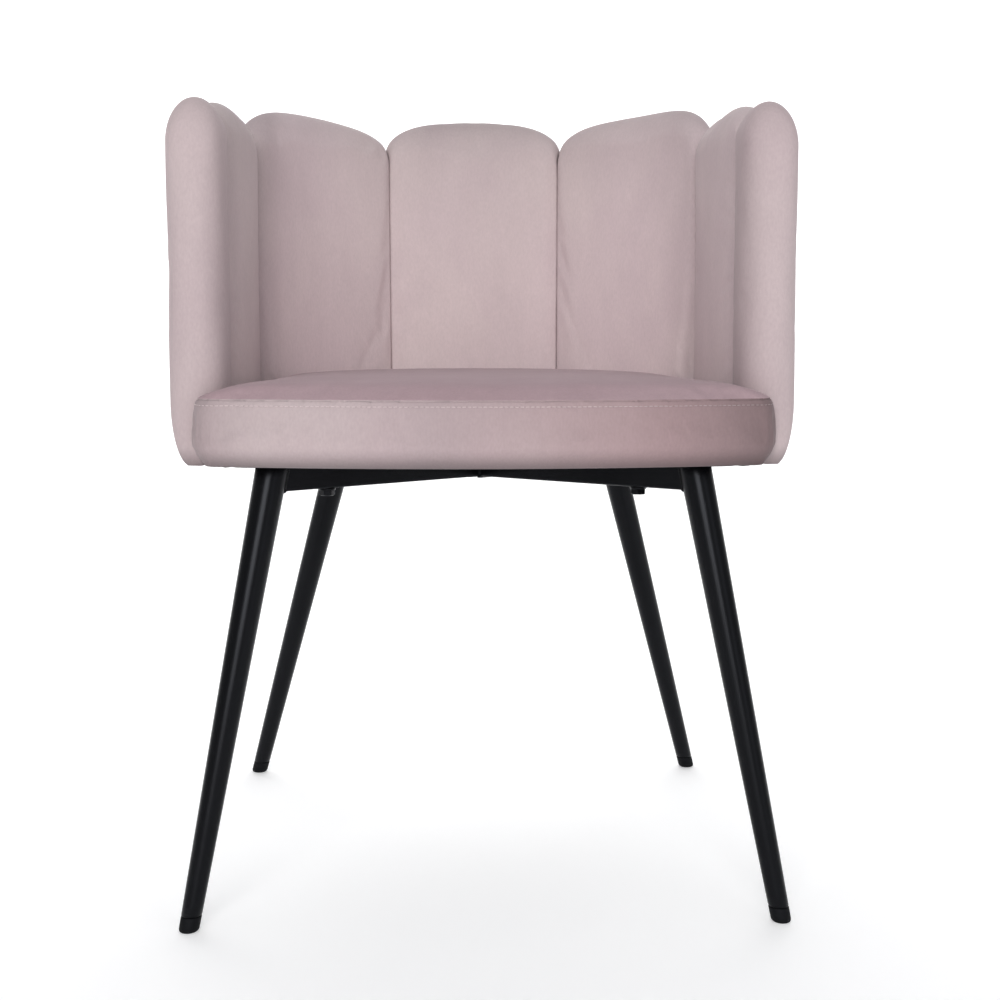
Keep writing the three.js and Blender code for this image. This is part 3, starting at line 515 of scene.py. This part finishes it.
def seat_plan():
    """The seat's outline from the middle of the front to the right and round, and how far along it
    the band hangs free (1 in front and round the ears, 0 along the back's inner wall)."""
    front, corner = bowed_front(0, 48, np.linspace(0, 1, 10, endpoint=False))
    ear = np.array([[0.2630, -0.2265], [0.2622, -0.2232], [0.2590, -0.2206], [0.2540, -0.2176],
                    [0.2490, -0.2148], [0.2440, -0.2116], [0.2400, -0.2076], [0.2381, -0.2025],
                    [0.2374, -0.1970]])
    wall = on_wall(np.linspace(0.955, 0, 84), 0.480, -(pad + velvet_gap))[:, :2]
    half = np.vstack([front, corner, ear, wall])
    free = np.concatenate([np.ones(len(front) + len(corner) + 4), np.linspace(0.9, 0, 9),
                           np.zeros(len(wall) - 4)])
    left = half[-2:0:-1] * np.array([-1, 1])
    return np.vstack([half, left]), np.concatenate([free, free[-2:0:-1]])


plan, free = seat_plan()
ways = np.roll(plan, -1, 0) - np.roll(plan, 1, 0)
ways /= np.linalg.norm(ways, axis=1, keepdims=True)
outward = np.column_stack([ways[:, 1], -ways[:, 0]])


def seat_ring(inset, height):
    """The seat's outline drawn in by an inset, at a height or at what a height rule gives."""
    spot = plan - outward * np.broadcast_to(inset, len(plan))[:, None]
    level = height(spot[:, 1]) if callable(height) else np.broadcast_to(height, len(plan))
    return np.column_stack([spot, level])


def seat_rings():
    """Level rings from the middle of the top over the rim, down the band and in under the foam."""
    rim = seat_ring(seam_round * free, seam_height)
    rings = []
    for share in np.sin(np.linspace(0.03, 1, 34)[:-1] * math.pi / 2):
        spot = seat_middle + (rim[:, :2] - seat_middle) * share
        rings.append(np.column_stack([spot, seam_height(spot[:, 1]) + crown * full(share, 4, 0.5)]))
    rings.append(rim)
    low_wall = board_top + 2 * foam_gap
    for share in np.linspace(0.06, 0.40, 7):
        bulge = seam_round * (1 - min(share / 0.3, 1)) ** 2
        drop = share * band_height * (0.35 + 0.65 * free)
        rings.append(seat_ring(bulge * free, lambda y, d=drop: seam_height(y) - d))
    for turn in np.linspace(0, math.pi / 2, 10):
        drop = body_bottom + band_curl_height * (1 - math.sin(turn))
        inset = band_curl * (1 - math.cos(turn)) * free
        rings.append(seat_ring(inset, drop * free + low_wall * (1 - free)))
    inner = band_curl * free + 0.0012
    rings.append(seat_ring(inner, body_bottom * free + low_wall * (1 - free)))
    rings.append(seat_ring(inner, np.full(len(plan), board_top + foam_gap)))
    for share in (0.8, 0.5, 0.2):
        spot = seat_middle + (rings[-1][:, :2] - seat_middle) * share
        rings.append(np.column_stack([spot, np.full(len(plan), board_top + foam_gap)]))
    return np.array(rings)


def ring_faces(count, around):
    """Faces that join rings of points to one skin, and one face to close it at either end."""
    faces = []
    for r in range(count - 1):
        for k in range(around):
            a, b = r * around + k, r * around + (k + 1) % around
            faces.append((a, a + around, b + around, b))
    last = tuple(range((count - 1) * around, count * around))
    return faces + [tuple(range(around)), last[::-1]]


rings = seat_rings()
faces = ring_faces(*rings.shape[:2])
seat = mesh_piece("seat_pad", rings.reshape(-1, 3), faces, band_velvet)
even = seat.modifiers.new("even", "REMESH")
even.mode, even.voxel_size, even.use_smooth_shade = "VOXEL", 0.0042, True
baked(seat)
levels = np.array([v.co.z for v in seat.data.vertices])
held = (levels < body_bottom + 0.006) | (np.abs(levels - board_top - foam_gap) < 0.003)
settle_velvet(seat, held, pressure=4.0, slack=0.004, cap=0.005)
subdivided(seat)

# Seam and topstitch: lines are cut into the skin all round, and the thread draws both of them in.
# Short puckers run off them down the band.
seam_tilt = Vector((0, -rear_rise / seat_depth, 1)).normalized()
seam_spot = Vector((0, front_edge, body_bottom + band_height))
topstitch_drop, beside_cut = 0.0046, 0.0009
seam_cuts = [0.0010, 0, -0.0010]
stitch_cuts = [beside_cut - topstitch_drop, -topstitch_drop, -beside_cut - topstitch_drop]
skin = bmesh.new()
skin.from_mesh(seat.data)
for level in seam_cuts + stitch_cuts:
    everything = skin.verts[:] + skin.edges[:] + skin.faces[:]
    bmesh.ops.bisect_plane(skin, geom=everything, dist=1e-6, plane_co=seam_spot + seam_tilt * level,
                           plane_no=seam_tilt)
skin.normal_update()
outward_ways = [v.normal.copy() for v in skin.verts]
for vertex, way in zip(skin.verts, outward_ways):
    level = (vertex.co - seam_spot).dot(seam_tilt)
    along = math.atan2(vertex.co.x, -vertex.co.y - 0.02) * 0.3
    draw = 0
    if abs(level) < 2e-5:
        draw = 0.0011
    elif abs(level + topstitch_drop) < 2e-5:
        draw = 0.0005
    pucker = math.sin(along * 700 + 2 * math.sin(along * 90)) * (0.6 + 0.4 * math.sin(along * 210 + 1))
    if level < 0 and vertex.co.y < -0.19:
        draw += 0.00018 * pucker * math.exp(level / 0.008) * (1 - math.exp(level / 0.003))
    vertex.co -= way * draw
seat.data.materials.clear()
seat.data.materials.append(band_velvet)
seat.data.materials.append(top_velvet)
for face in skin.faces:
    face.smooth = True
    above_seam = (face.calc_center_median() - seam_spot).dot(seam_tilt)
    face.material_index = 1 if above_seam > beside_cut else 0
skin.to_mesh(seat.data)
skin.free()
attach(seat, "root")
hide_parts("seat_cover", "seat_foam")

# The band's lower edge, folded flat under the board as a strip of cloth for the staples to hold. Beside
# the arms the cloth goes down the board's own side and under it.
def hem_line(inset):
    """The seat's outline drawn in by an inset, from the left arm's end round the front to the right."""
    bowed, corner = bowed_front(inset, 40, np.linspace(0, 1, 10))
    corner[:, 1] = np.minimum(corner[:, 1], -arm_reach - 0.002)
    side = np.vstack([bowed, corner])
    return np.vstack([side[:0:-1] * np.array([-1, 1]), side])


fold = [(0.0140, 0.0032), (0.0190, 0.0006), (0.0235, 0.0001), (0.0300, 0.0001), (0.0400, 0.0001),
        (0.0500, 0.0001)]
hem_rows = []
for inset, rise in fold:
    line = hem_line(inset)
    hem_rows.append(np.column_stack([line, np.full(len(line), body_bottom + rise)]))
columns = np.array(hem_rows).transpose(1, 0, 2)
hem_points = [columns.reshape(-1, 3)]
hem_faces = grid_faces(len(columns), len(fold), flip=True)
side_x, side_end = 0.2329, -0.1459
board_side = [((side_x, -0.2189), (-1, 0)), ((side_x, -0.19), (-1, 0)), ((side_x, -0.16), (-1, 0)),
              ((side_x, side_end), (-1, 0.08)), ((side_x + 0.01, side_end), (0, 0.08)),
              ((side_x + 0.02, side_end), (0, 0.08))]
tuck = [(0, 0.4296), (0, 0.4220), (0, 0.4162), (0.0004, 0.4148), (0.0012, 0.4141), (0.0070, 0.4141),
        (0.0200, 0.4141)]
for side in (1, -1):
    strip = [(side * (x + in_x * depth), y + in_y * depth, level)
             for (x, y), (in_x, in_y) in board_side for depth, level in tuck]
    start = sum(len(points) for points in hem_points)
    hem_faces += grid_faces(len(board_side), len(tuck), start, flip=side > 0)
    hem_points.append(np.array(strip))
hem = mesh_piece("seat_hem", np.vstack(hem_points), hem_faces, band_velvet)
thick = hem.modifiers.new("cloth", "SOLIDIFY")
thick.thickness, thick.offset = velvet_thick, -1
baked(hem)
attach(hem, "root")


# Stitches of the topstitch, set one by one along the line in the band: each a short arch of thread.
def setting_tree(name, along_path):
    """Geometry nodes that set copies of a small piece on points, or in even steps along a path. The
    points carry the way the piece points (run) and the way out of the surface it sits on (out)."""
    tree = bpy.data.node_groups.new(name, "GeometryNodeTree")
    for item, kind in (("Geometry", "Geometry"), ("Piece", "Object"), ("Spacing", "Float"),
                       ("Unevenness", "Float"), ("Material", "Material")):
        tree.interface.new_socket(item, in_out="INPUT", socket_type="NodeSocket" + kind)
    tree.interface.new_socket("Geometry", in_out="OUTPUT", socket_type="NodeSocketGeometry")
    given = tree.nodes.new("NodeGroupInput").outputs
    piece = add_node(tree, "GeometryNodeObjectInfo", {"Object": given["Piece"]}, "Geometry")
    run, out = (add_node(tree, "GeometryNodeInputNamedAttribute", {"Name": attribute}, "Attribute",
                         data_type="FLOAT_VECTOR") for attribute in ("run", "out"))
    facing = add_node(tree, "FunctionNodeAxesToRotation", {"Primary Axis": out, "Secondary Axis": run},
                      "Rotation", primary_axis="Z", secondary_axis="X")
    most = given["Unevenness"]
    least = add_node(tree, "ShaderNodeMath", {0: most, 1: -1}, "Value", operation="MULTIPLY")
    limits = {"Seed": 7, 2: least, 3: most}
    chance = add_node(tree, "FunctionNodeRandomValue", limits, 1, data_type="FLOAT")
    skew = add_node(tree, "ShaderNodeCombineXYZ", {"Z": chance}, "Vector")
    turn = add_node(tree, "FunctionNodeEulerToRotation", {"Euler": skew}, "Rotation")
    turned = add_node(tree, "FunctionNodeRotateRotation", {"Rotation": facing, "Rotate By": turn},
                      "Rotation", rotation_space="LOCAL")
    points = given["Geometry"]
    if along_path:
        path = add_node(tree, "GeometryNodeMeshToCurve", {"Mesh": points}, "Curve")
        points = add_node(tree, "GeometryNodeResampleCurve", {"Curve": path, "Length": given["Spacing"]},
                          "Curve", mode="LENGTH")
    places = {"Points": points, "Instance": piece, "Rotation": turned}
    pieces = add_node(tree, "GeometryNodeInstanceOnPoints", places, "Instances")
    real = add_node(tree, "GeometryNodeRealizeInstances", {"Geometry": pieces}, "Geometry")
    coated = add_node(tree, "GeometryNodeSetMaterial", {"Geometry": real, "Material": given["Material"]},
                      "Geometry")
    tree.links.new(coated, tree.nodes.new("NodeGroupOutput").inputs["Geometry"])
    return tree


def set_along(name, tree, piece, path, material, spacing=0.01, unevenness=0.0):
    """Sets a piece by a tree on a path, which is a list of (place, way out), or on a single point."""
    edges = [(k, k + 1) for k in range(len(path) - 1)]
    outs, runs = [], []
    for k, (_, out) in enumerate(path):
        before, after = path[max(k - 1, 0)][0], path[min(k + 1, len(path) - 1)][0]
        run = Vector(after) - Vector(before)
        runs.append(run.normalized() if run.length > 1e-9 else Vector((1, 0, 0)))
        outs.append(Vector(out).normalized())
    carrier = bpy.data.meshes.new(name)
    carrier.from_pydata([tuple(place) for place, _ in path], edges, [])
    for attribute, values in (("run", runs), ("out", outs)):
        held_there = carrier.attributes.new(attribute, "FLOAT_VECTOR", "POINT")
        held_there.data.foreach_set("vector", [c for v in values for c in v])
    holder = bpy.data.objects.new(name, carrier)
    bpy.context.scene.collection.objects.link(holder)
    setter = holder.modifiers.new("setting", "NODES")
    setter.node_group = tree
    values = {"Piece": piece, "Spacing": spacing, "Unevenness": unevenness, "Material": material}
    for item in tree.interface.items_tree:
        if item.in_out == "INPUT" and item.name in values:
            setter[item.identifier] = values[item.name]
    baked(holder)
    return holder


def face_outward(piece):
    repair = bmesh.new()
    repair.from_mesh(piece.data)
    bmesh.ops.recalc_face_normals(repair, faces=repair.faces)
    repair.to_mesh(piece.data)
    repair.free()


def wire_piece(name, line, radius, sides, flatten=1.0):
    """A short bent wire in the plane of X and Z, closed at its ends."""
    line = np.array(line, float)
    ways = np.gradient(line, axis=0)
    ways /= np.linalg.norm(ways, axis=1, keepdims=True)
    points = []
    for (x, z), (dx, dz) in zip(line, ways):
        for t in np.linspace(0, 2 * math.pi, sides, endpoint=False):
            points.append((x - dz * radius * math.sin(t), radius * flatten * math.cos(t),
                           z + dx * radius * math.sin(t)))
    piece = mesh_piece(name, points, ring_faces(len(line), sides))
    face_outward(piece)
    return piece


def sewing_thread():
    """Twisted thread, darkened towards the right with painted shade, as the band is."""
    thread, tree, shader = new_material("sewing_thread", {"Roughness": 0.55})
    place = object_place(tree)
    tone = two_tones(tree, noise(tree, place, 1500), srgb(200, 183, 185), srgb(218, 203, 204))
    # Painted shade: the thread is half as bright at the right end
    thread_shade_right = spread(tree, part_of(tree, place, "X"), 0.06, 0.26, 1, 0.5)
    tree.links.new(scaled(tree, tone, thread_shade_right), shader.inputs["Base Color"])
    return thread


def skin_of(mesh):
    return BVHTree.FromPolygons([v.co for v in mesh.vertices], [p.vertices for p in mesh.polygons])


path_tree = setting_tree("set_along_path", True)
point_tree = setting_tree("set_on_points", False)
seat_skin = skin_of(seat.data)
stitch_path, stitched_to_y = [], -0.222
from_behind = 110  # the outline is turned by so many points, so that the front lies in one piece
for spot, away in zip(np.roll(plan, from_behind, 0), np.roll(outward, from_behind, 0)):
    if spot[1] > stitched_to_y:
        continue
    out = Vector((*away, 0))
    level = seam_height(spot[1]) - topstitch_drop * 1.0003
    hit, normal, _, _ = seat_skin.ray_cast(Vector((*spot, level)) + out * 0.03, -out, 0.06)
    if hit is not None:
        stitch_path.append((hit, normal))
stitch_half, stitch_rise, stitch_sink = 0.00155, 0.00035, 0.00012
stitch_arch = [(stitch_half * math.sin(t), stitch_rise * math.cos(t) - stitch_sink)
               for t in np.linspace(-1.57, 1.57, 6)]
stitch = wire_piece("stitch", stitch_arch, radius=0.00028, sides=5)
topstitch = set_along("topstitch", path_tree, stitch, stitch_path, sewing_thread(),
                      spacing=0.0045, unevenness=0.05)
bpy.data.objects.remove(stitch)
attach(topstitch, "root")

# ---- Legs: four tapered round steel tubes, closed by a plate at the top and powder coated satin
# black with the bars they are welded to.
def black_coat(name, roughness=0.27):
    coat, tree, shader = new_material(name, {
        "Roughness": roughness, "Specular IOR Level": 0.14, "Specular Tint": (0.86, 0.9, 1.0, 1)})
    place = object_place(tree)
    peel = bumped(tree, noise(tree, place, 900), 0.18, 0.0003)
    tree.links.new(peel, shader.inputs["Normal"])
    dust = two_tones(tree, noise(tree, place, 14, 4), srgb(4, 4, 5), srgb(9, 9, 11))
    tree.links.new(dust, shader.inputs["Base Color"])
    return coat


steel_coat = black_coat("black_powder_coat")
bar_top = 0.4124
cap_height = 0.014
leg_places = {
    "front_left": ((-0.268, -0.255), (-0.195, -0.1878)),
    "front_right": ((0.268, -0.255), (0.195, -0.1878)),
    "rear_left": ((-0.268, 0.2405), (-0.154, 0.1353)),
    "rear_right": ((0.268, 0.2405), (0.154, 0.1353)),
}
leg_foot_radius, leg_top_radius = 0.009, 0.015


def leg_rings(leg, levels, shrink, sides=64):
    """Level rings round a leg's sloping axis, each made smaller by its shrink."""
    foot, top = (np.array(p) for p in leg_places[leg])
    low, high = np.array([*foot, 0]), np.array([*top, bar_top])
    axis = (high - low) / np.linalg.norm(high - low)
    side = np.cross(axis, [0, 0, 1])
    side /= np.linalg.norm(side)
    up = np.cross(side, axis)
    turn = np.linspace(0, 2 * math.pi, sides, endpoint=False)
    spoke = np.outer(np.cos(turn), side) + np.outer(np.sin(turn), up)
    rings = []
    for level, less in zip(levels, shrink):
        start = low + spoke * (leg_foot_radius - less)
        end = high + spoke * (leg_top_radius - less)
        share = (level - start[:, 2]) / (end[:, 2] - start[:, 2])
        rings.append(start + (end - start) * share[:, None])
    return np.array(rings)


def closed_rings(name, rings, material):
    """A closed body from rings listed from its bottom to its top, with flat ends and smooth sides."""
    piece = mesh_piece(name, rings.reshape(-1, 3), ring_faces(*rings.shape[:2]), material)
    face_outward(piece)
    piece.data.polygons.foreach_set("use_smooth", [len(f.vertices) == 4 for f in piece.data.polygons])
    return piece


leg_skins = {}
for leg in leg_places:
    levels = [cap_height, cap_height + 0.0001, cap_height + 0.0005, cap_height + 0.0012]
    shrink = [0.0012, 0.0006, 0.0002, 0]
    middle = np.linspace(cap_height + 0.01, bar_top - 0.01, 14)
    levels += list(middle) + [bar_top - 0.0012, bar_top - 0.0005, bar_top - 0.0001, bar_top]
    shrink += [0] * 15 + [0.0002, 0.0006, 0.0012]
    tube = closed_rings("leg_tube_" + leg, leg_rings(leg, levels, shrink), steel_coat)
    leg_skins[leg] = skin_of(tube.data)
    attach(tube, "root")
    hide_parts("leg_" + leg)

# ---- Bars: rectangular steel tube with rolled edges, one long and two half bars in one plane,
# coped to the round legs. Beads of weld run round every joint and lie under the same black coat.
for bar in ("long_bar", "half_bar_front", "half_bar_rear"):
    mesh = cad[bar].data.copy()
    mesh.name = "rolled_" + bar
    edit = bmesh.new()
    edit.from_mesh(mesh)
    bmesh.ops.remove_doubles(edit, verts=edit.verts, dist=2e-6)
    bmesh.ops.dissolve_limit(edit, angle_limit=math.radians(1), verts=edit.verts, edges=edit.edges)
    long_edges = [e for e in edit.edges if len(e.link_faces) == 2 and e.calc_length() > 0.04
                  and e.calc_face_angle(0) > math.radians(60)]
    bmesh.ops.bevel(edit, geom=long_edges, offset=0.0018, segments=4, profile=0.5, affect="EDGES")
    edit.to_mesh(mesh)
    edit.free()
    mesh.materials.clear()
    mesh.materials.append(steel_coat)
    tube = bpy.data.objects.new("rolled_" + bar, mesh)
    bpy.context.scene.collection.objects.link(tube)
    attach(tube, "root")
    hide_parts(bar)
    if bar == "long_bar":
        long_bar_skin = skin_of(mesh)

# The weld is a row of overlapping ripples: down one side of a bar's end, under it and up the other.
bar_bottom, bar_half = 0.3884, 0.008


def weld_ripple(length, width, height):
    points, faces, around = [], [], 10
    for share, level, lean in ((1, -0.5, 0), (0.86, 0.4, 0.1), (0.5, 0.85, 0.2)):
        for t in np.linspace(0, 2 * math.pi, around, endpoint=False):
            points.append((length * (share * math.cos(t) + lean), width * share * math.sin(t),
                           height * level))
    points.append((length * 0.25, 0, height))
    faces.append(tuple(range(around))[::-1])
    for k in range(around):
        a, b = k, (k + 1) % around
        faces += [(a, b, b + around, a + around),
                  (a + around, b + around, b + 2 * around, a + 2 * around),
                  (a + 2 * around, b + 2 * around, 3 * around)]
    return mesh_piece("weld_ripple", points, faces, steel_coat)


def weld_path(skin, start, way):
    """Around the end of a bar that runs from its start in a level way, on the skin it is welded to."""
    side, below = Vector((-way.y, way.x, 0)), Vector((0, 0, -1))
    levels = np.arange(bar_top - 0.0030, bar_bottom + 0.001, -0.0015)
    spots = [(bar_half, level, side) for level in levels]
    spots += [(across, bar_bottom, below) for across in np.linspace(bar_half, -bar_half, 11)]
    spots += [(-bar_half, level, -side) for level in levels[::-1]]
    path = []
    for across, level, away in spots:
        seen_from = start + side * across * 1.03 + way * 0.06
        seen_from.z = max(level, bar_bottom + 0.003)
        hit, normal, _, _ = skin.ray_cast(seen_from, -way)
        if hit is not None:
            path.append((Vector((hit.x, hit.y, level)), normal + away))
    return path


bar_middle = (bar_top + bar_bottom) / 2
ends = {leg: Vector((*foot, 0)).lerp(Vector((*top, bar_top)), bar_middle / bar_top)
        for leg, (foot, top) in leg_places.items()}
facing = {"front_left": "rear_right", "rear_right": "front_left", "front_right": "rear_left",
          "rear_left": "front_right"}
ripple = weld_ripple(length=0.0016, width=0.0026, height=0.0013)
beads = {}
for leg, across in facing.items():
    way = (ends[across] - ends[leg]).normalized()
    beads["weld_" + leg] = weld_path(leg_skins[leg], ends[leg], way)
    if across in ("rear_left", "front_right"):
        share = abs(ends[leg].x) / (abs(ends[leg].x) + abs(ends[across].x))
        middle = Vector((0, (ends[leg] + (ends[across] - ends[leg]) * share).y, bar_middle))
        beads["weld_crossing_" + leg] = weld_path(long_bar_skin, middle, -way)
for name, path in beads.items():
    bead = set_along(name, path_tree, ripple, path, steel_coat, spacing=0.0015, unevenness=0.12)
    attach(bead, "root")
bpy.data.objects.remove(ripple)

# ---- Foot caps: black plastic glides with a bevelled foot, pressed into the tube ends.
cap_plastic = black_coat("black_plastic", roughness=0.6)
for leg in leg_places:
    levels = [0, 0.0004, 0.0010, 0.0018, 0.0028, 0.0060, 0.0125, 0.0131, 0.01355, 0.0137]
    shrink = [0.0017, 0.0011, 0.0006, 0.0002, 0, 0, 0, 0.0001, 0.0004, 0.0009]
    cap = closed_rings("glide_" + leg, leg_rings(leg, levels, shrink, sides=48), cap_plastic)
    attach(cap, "root")
    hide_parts("foot_cap_" + leg)


# ---- Bolts: black hexagon bolts with chamfered heads, each on a flat washer, up through the bars
# into the tee nuts. No two heads came to rest at the same turn.
def bolt_shape(corner, head, shank, length):
    """A hexagon bolt along Z with its head below zero."""
    flat = corner * math.cos(math.radians(30))
    hexagon = [flat / math.cos(math.radians(15 * k % 60 - 30)) for k in range(24)]
    face, chamfer = 0.93 * flat, 0.58
    rings = [[(face, -head)] * 24,
             [(r, (r - face) * chamfer - head) for r in hexagon],
             [(r, -0.0003) for r in hexagon],
             [(r - 0.0003, 0) for r in hexagon],
             [(shank, 0)] * 24, [(shank, length - 0.0010)] * 24, [(shank - 0.0009, length)] * 24]
    points = [[(r * math.cos(math.radians(15 * k)), r * math.sin(math.radians(15 * k)), z)
               for k, (r, z) in enumerate(ring)] for ring in rings]
    piece = closed_rings("bolt_shape", np.array(points), bolt_coat)
    piece.data.polygons.foreach_set("use_smooth", [False] * len(piece.data.polygons))
    return piece


def washer_shape(bore, radius, thick, bevel=0.0003):
    profile = [(bore, 0), (radius - bevel, 0), (radius, bevel), (radius, thick - bevel),
               (radius - bevel, thick), (bore, thick)]
    points, faces, around = [], [], 40
    for t in np.linspace(0, 2 * math.pi, around, endpoint=False):
        points += [(r * math.cos(t), r * math.sin(t), z) for r, z in profile]
    for k in range(around):
        for p in range(len(profile)):
            a, b = k * len(profile), (k + 1) % around * len(profile)
            q = (p + 1) % len(profile)
            faces.append((a + p, b + p, b + q, a + q))
    return mesh_piece("washer_shape", points, faces, bolt_coat, smooth=False)


bolt_coat = black_coat("black_oxide")
head_height = 0.0053
bolt = bolt_shape(corner=0.0075, head=head_height, shank=0.0040, length=0.0400)
washer = washer_shape(bore=0.0043, radius=0.0080, thick=0.0019)
for number, leg in enumerate(leg_places):
    for name, shape, rise in (("bolt_", bolt, head_height), ("washer_", washer, -0.0002)):
        low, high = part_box(name + leg)
        spot = Vector(((low.x + high.x) / 2, (low.y + high.y) / 2, low.z + rise))
        piece = set_along("black_" + name + leg, point_tree, shape, [(spot, (0, 0, 1))], bolt_coat,
                          unevenness=0.3 + 0.4 * number)
        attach(piece, "root")
        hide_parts(name + leg)
bpy.data.objects.remove(bolt)
bpy.data.objects.remove(washer)


# ---- Inner parts: zinc plated tee nuts, angles and wood screws; plywood board and shell. All of
# them are out of sight under the foam and the cloth.
def zinc_plate():
    plate, tree, shader = new_material("zinc_plate", {"Metallic": 1})
    cells = {"Vector": object_place(tree), "Scale": 260}
    spangle = add_node(tree, "ShaderNodeTexVoronoi", cells, "Distance")
    tone = two_tones(tree, spangle, srgb(186, 188, 190), srgb(206, 206, 202))
    tree.links.new(tone, shader.inputs["Base Color"])
    tree.links.new(spread(tree, spangle, 0, 1, 0.3, 0.45), shader.inputs["Roughness"])
    return plate


def birch_plywood():
    wood, tree, shader = new_material("birch_plywood", {"Roughness": 0.7})
    stretch = {"Vector": object_place(tree), "Scale": (1, 9, 9)}
    grain = noise(tree, add_node(tree, "ShaderNodeMapping", stretch, "Vector"), 14, 6)
    tone = two_tones(tree, grain, srgb(214, 184, 140), srgb(186, 150, 104))
    tree.links.new(tone, shader.inputs["Base Color"])
    return wood


zinc = zinc_plate()
plywood = birch_plywood()
for name, node in cad.items():
    if name in ("seat_board", "back_shell"):
        node.data.materials.clear()
        node.data.materials.append(plywood)
    elif name.startswith(("tee_nut_", "angle_bracket_", "board_screw_", "shell_screw_")):
        node.data.materials.clear()
        node.data.materials.append(zinc)

# ---- Dust cover: black non-woven cloth over the underside, stapled to the board over the hems.
def non_woven():
    cloth, tree, shader = new_material("non_woven_black", {"Roughness": 0.95, "Specular IOR Level": 0.15})
    cells = {"Vector": object_place(tree), "Scale": 420}
    dots = add_node(tree, "ShaderNodeTexVoronoi", cells, "Distance")
    tone = two_tones(tree, dots, srgb(26, 26, 28), srgb(44, 44, 46))
    tree.links.new(tone, shader.inputs["Base Color"])
    tree.links.new(bumped(tree, dots, 0.3, 0.0004), shader.inputs["Normal"])
    return cloth


dust_cover = cad["dust_cover"]
dust_cover.data.materials.clear()
dust_cover.data.materials.append(non_woven())
rim = BVHTree.FromPolygons([dust_cover.matrix_world @ v.co for v in dust_cover.data.vertices],
                           [p.vertices for p in dust_cover.data.polygons])
low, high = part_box("dust_cover")
staple_path, staple_inset = [], 0.0065
for turn in np.linspace(0, 2 * math.pi, 240, endpoint=False):
    way = Vector((math.cos(turn), math.sin(turn), 0))
    hit, normal, _, _ = rim.ray_cast(Vector((0, -0.03, (low.z + high.z) / 2)) + way * 0.5, -way)
    spot = hit - Vector((normal.x, normal.y, 0)).normalized() * staple_inset
    staple_path.append((Vector((spot.x, spot.y, low.z)), (0, 0, -1)))
staple_line = [(-0.0052, -0.0009), (-0.0052, -0.0004), (-0.0050, -0.0001), (-0.0045, 0.0001),
               (0.0045, 0.0001), (0.0050, -0.0001), (0.0052, -0.0004), (0.0052, -0.0009)]
staple = wire_piece("staple", staple_line, radius=0.0003, sides=6, flatten=1.8)
staples = set_along("staples", path_tree, staple, staple_path, zinc, spacing=0.034, unevenness=0.16)
bpy.data.objects.remove(staple)
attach(staples, "root")
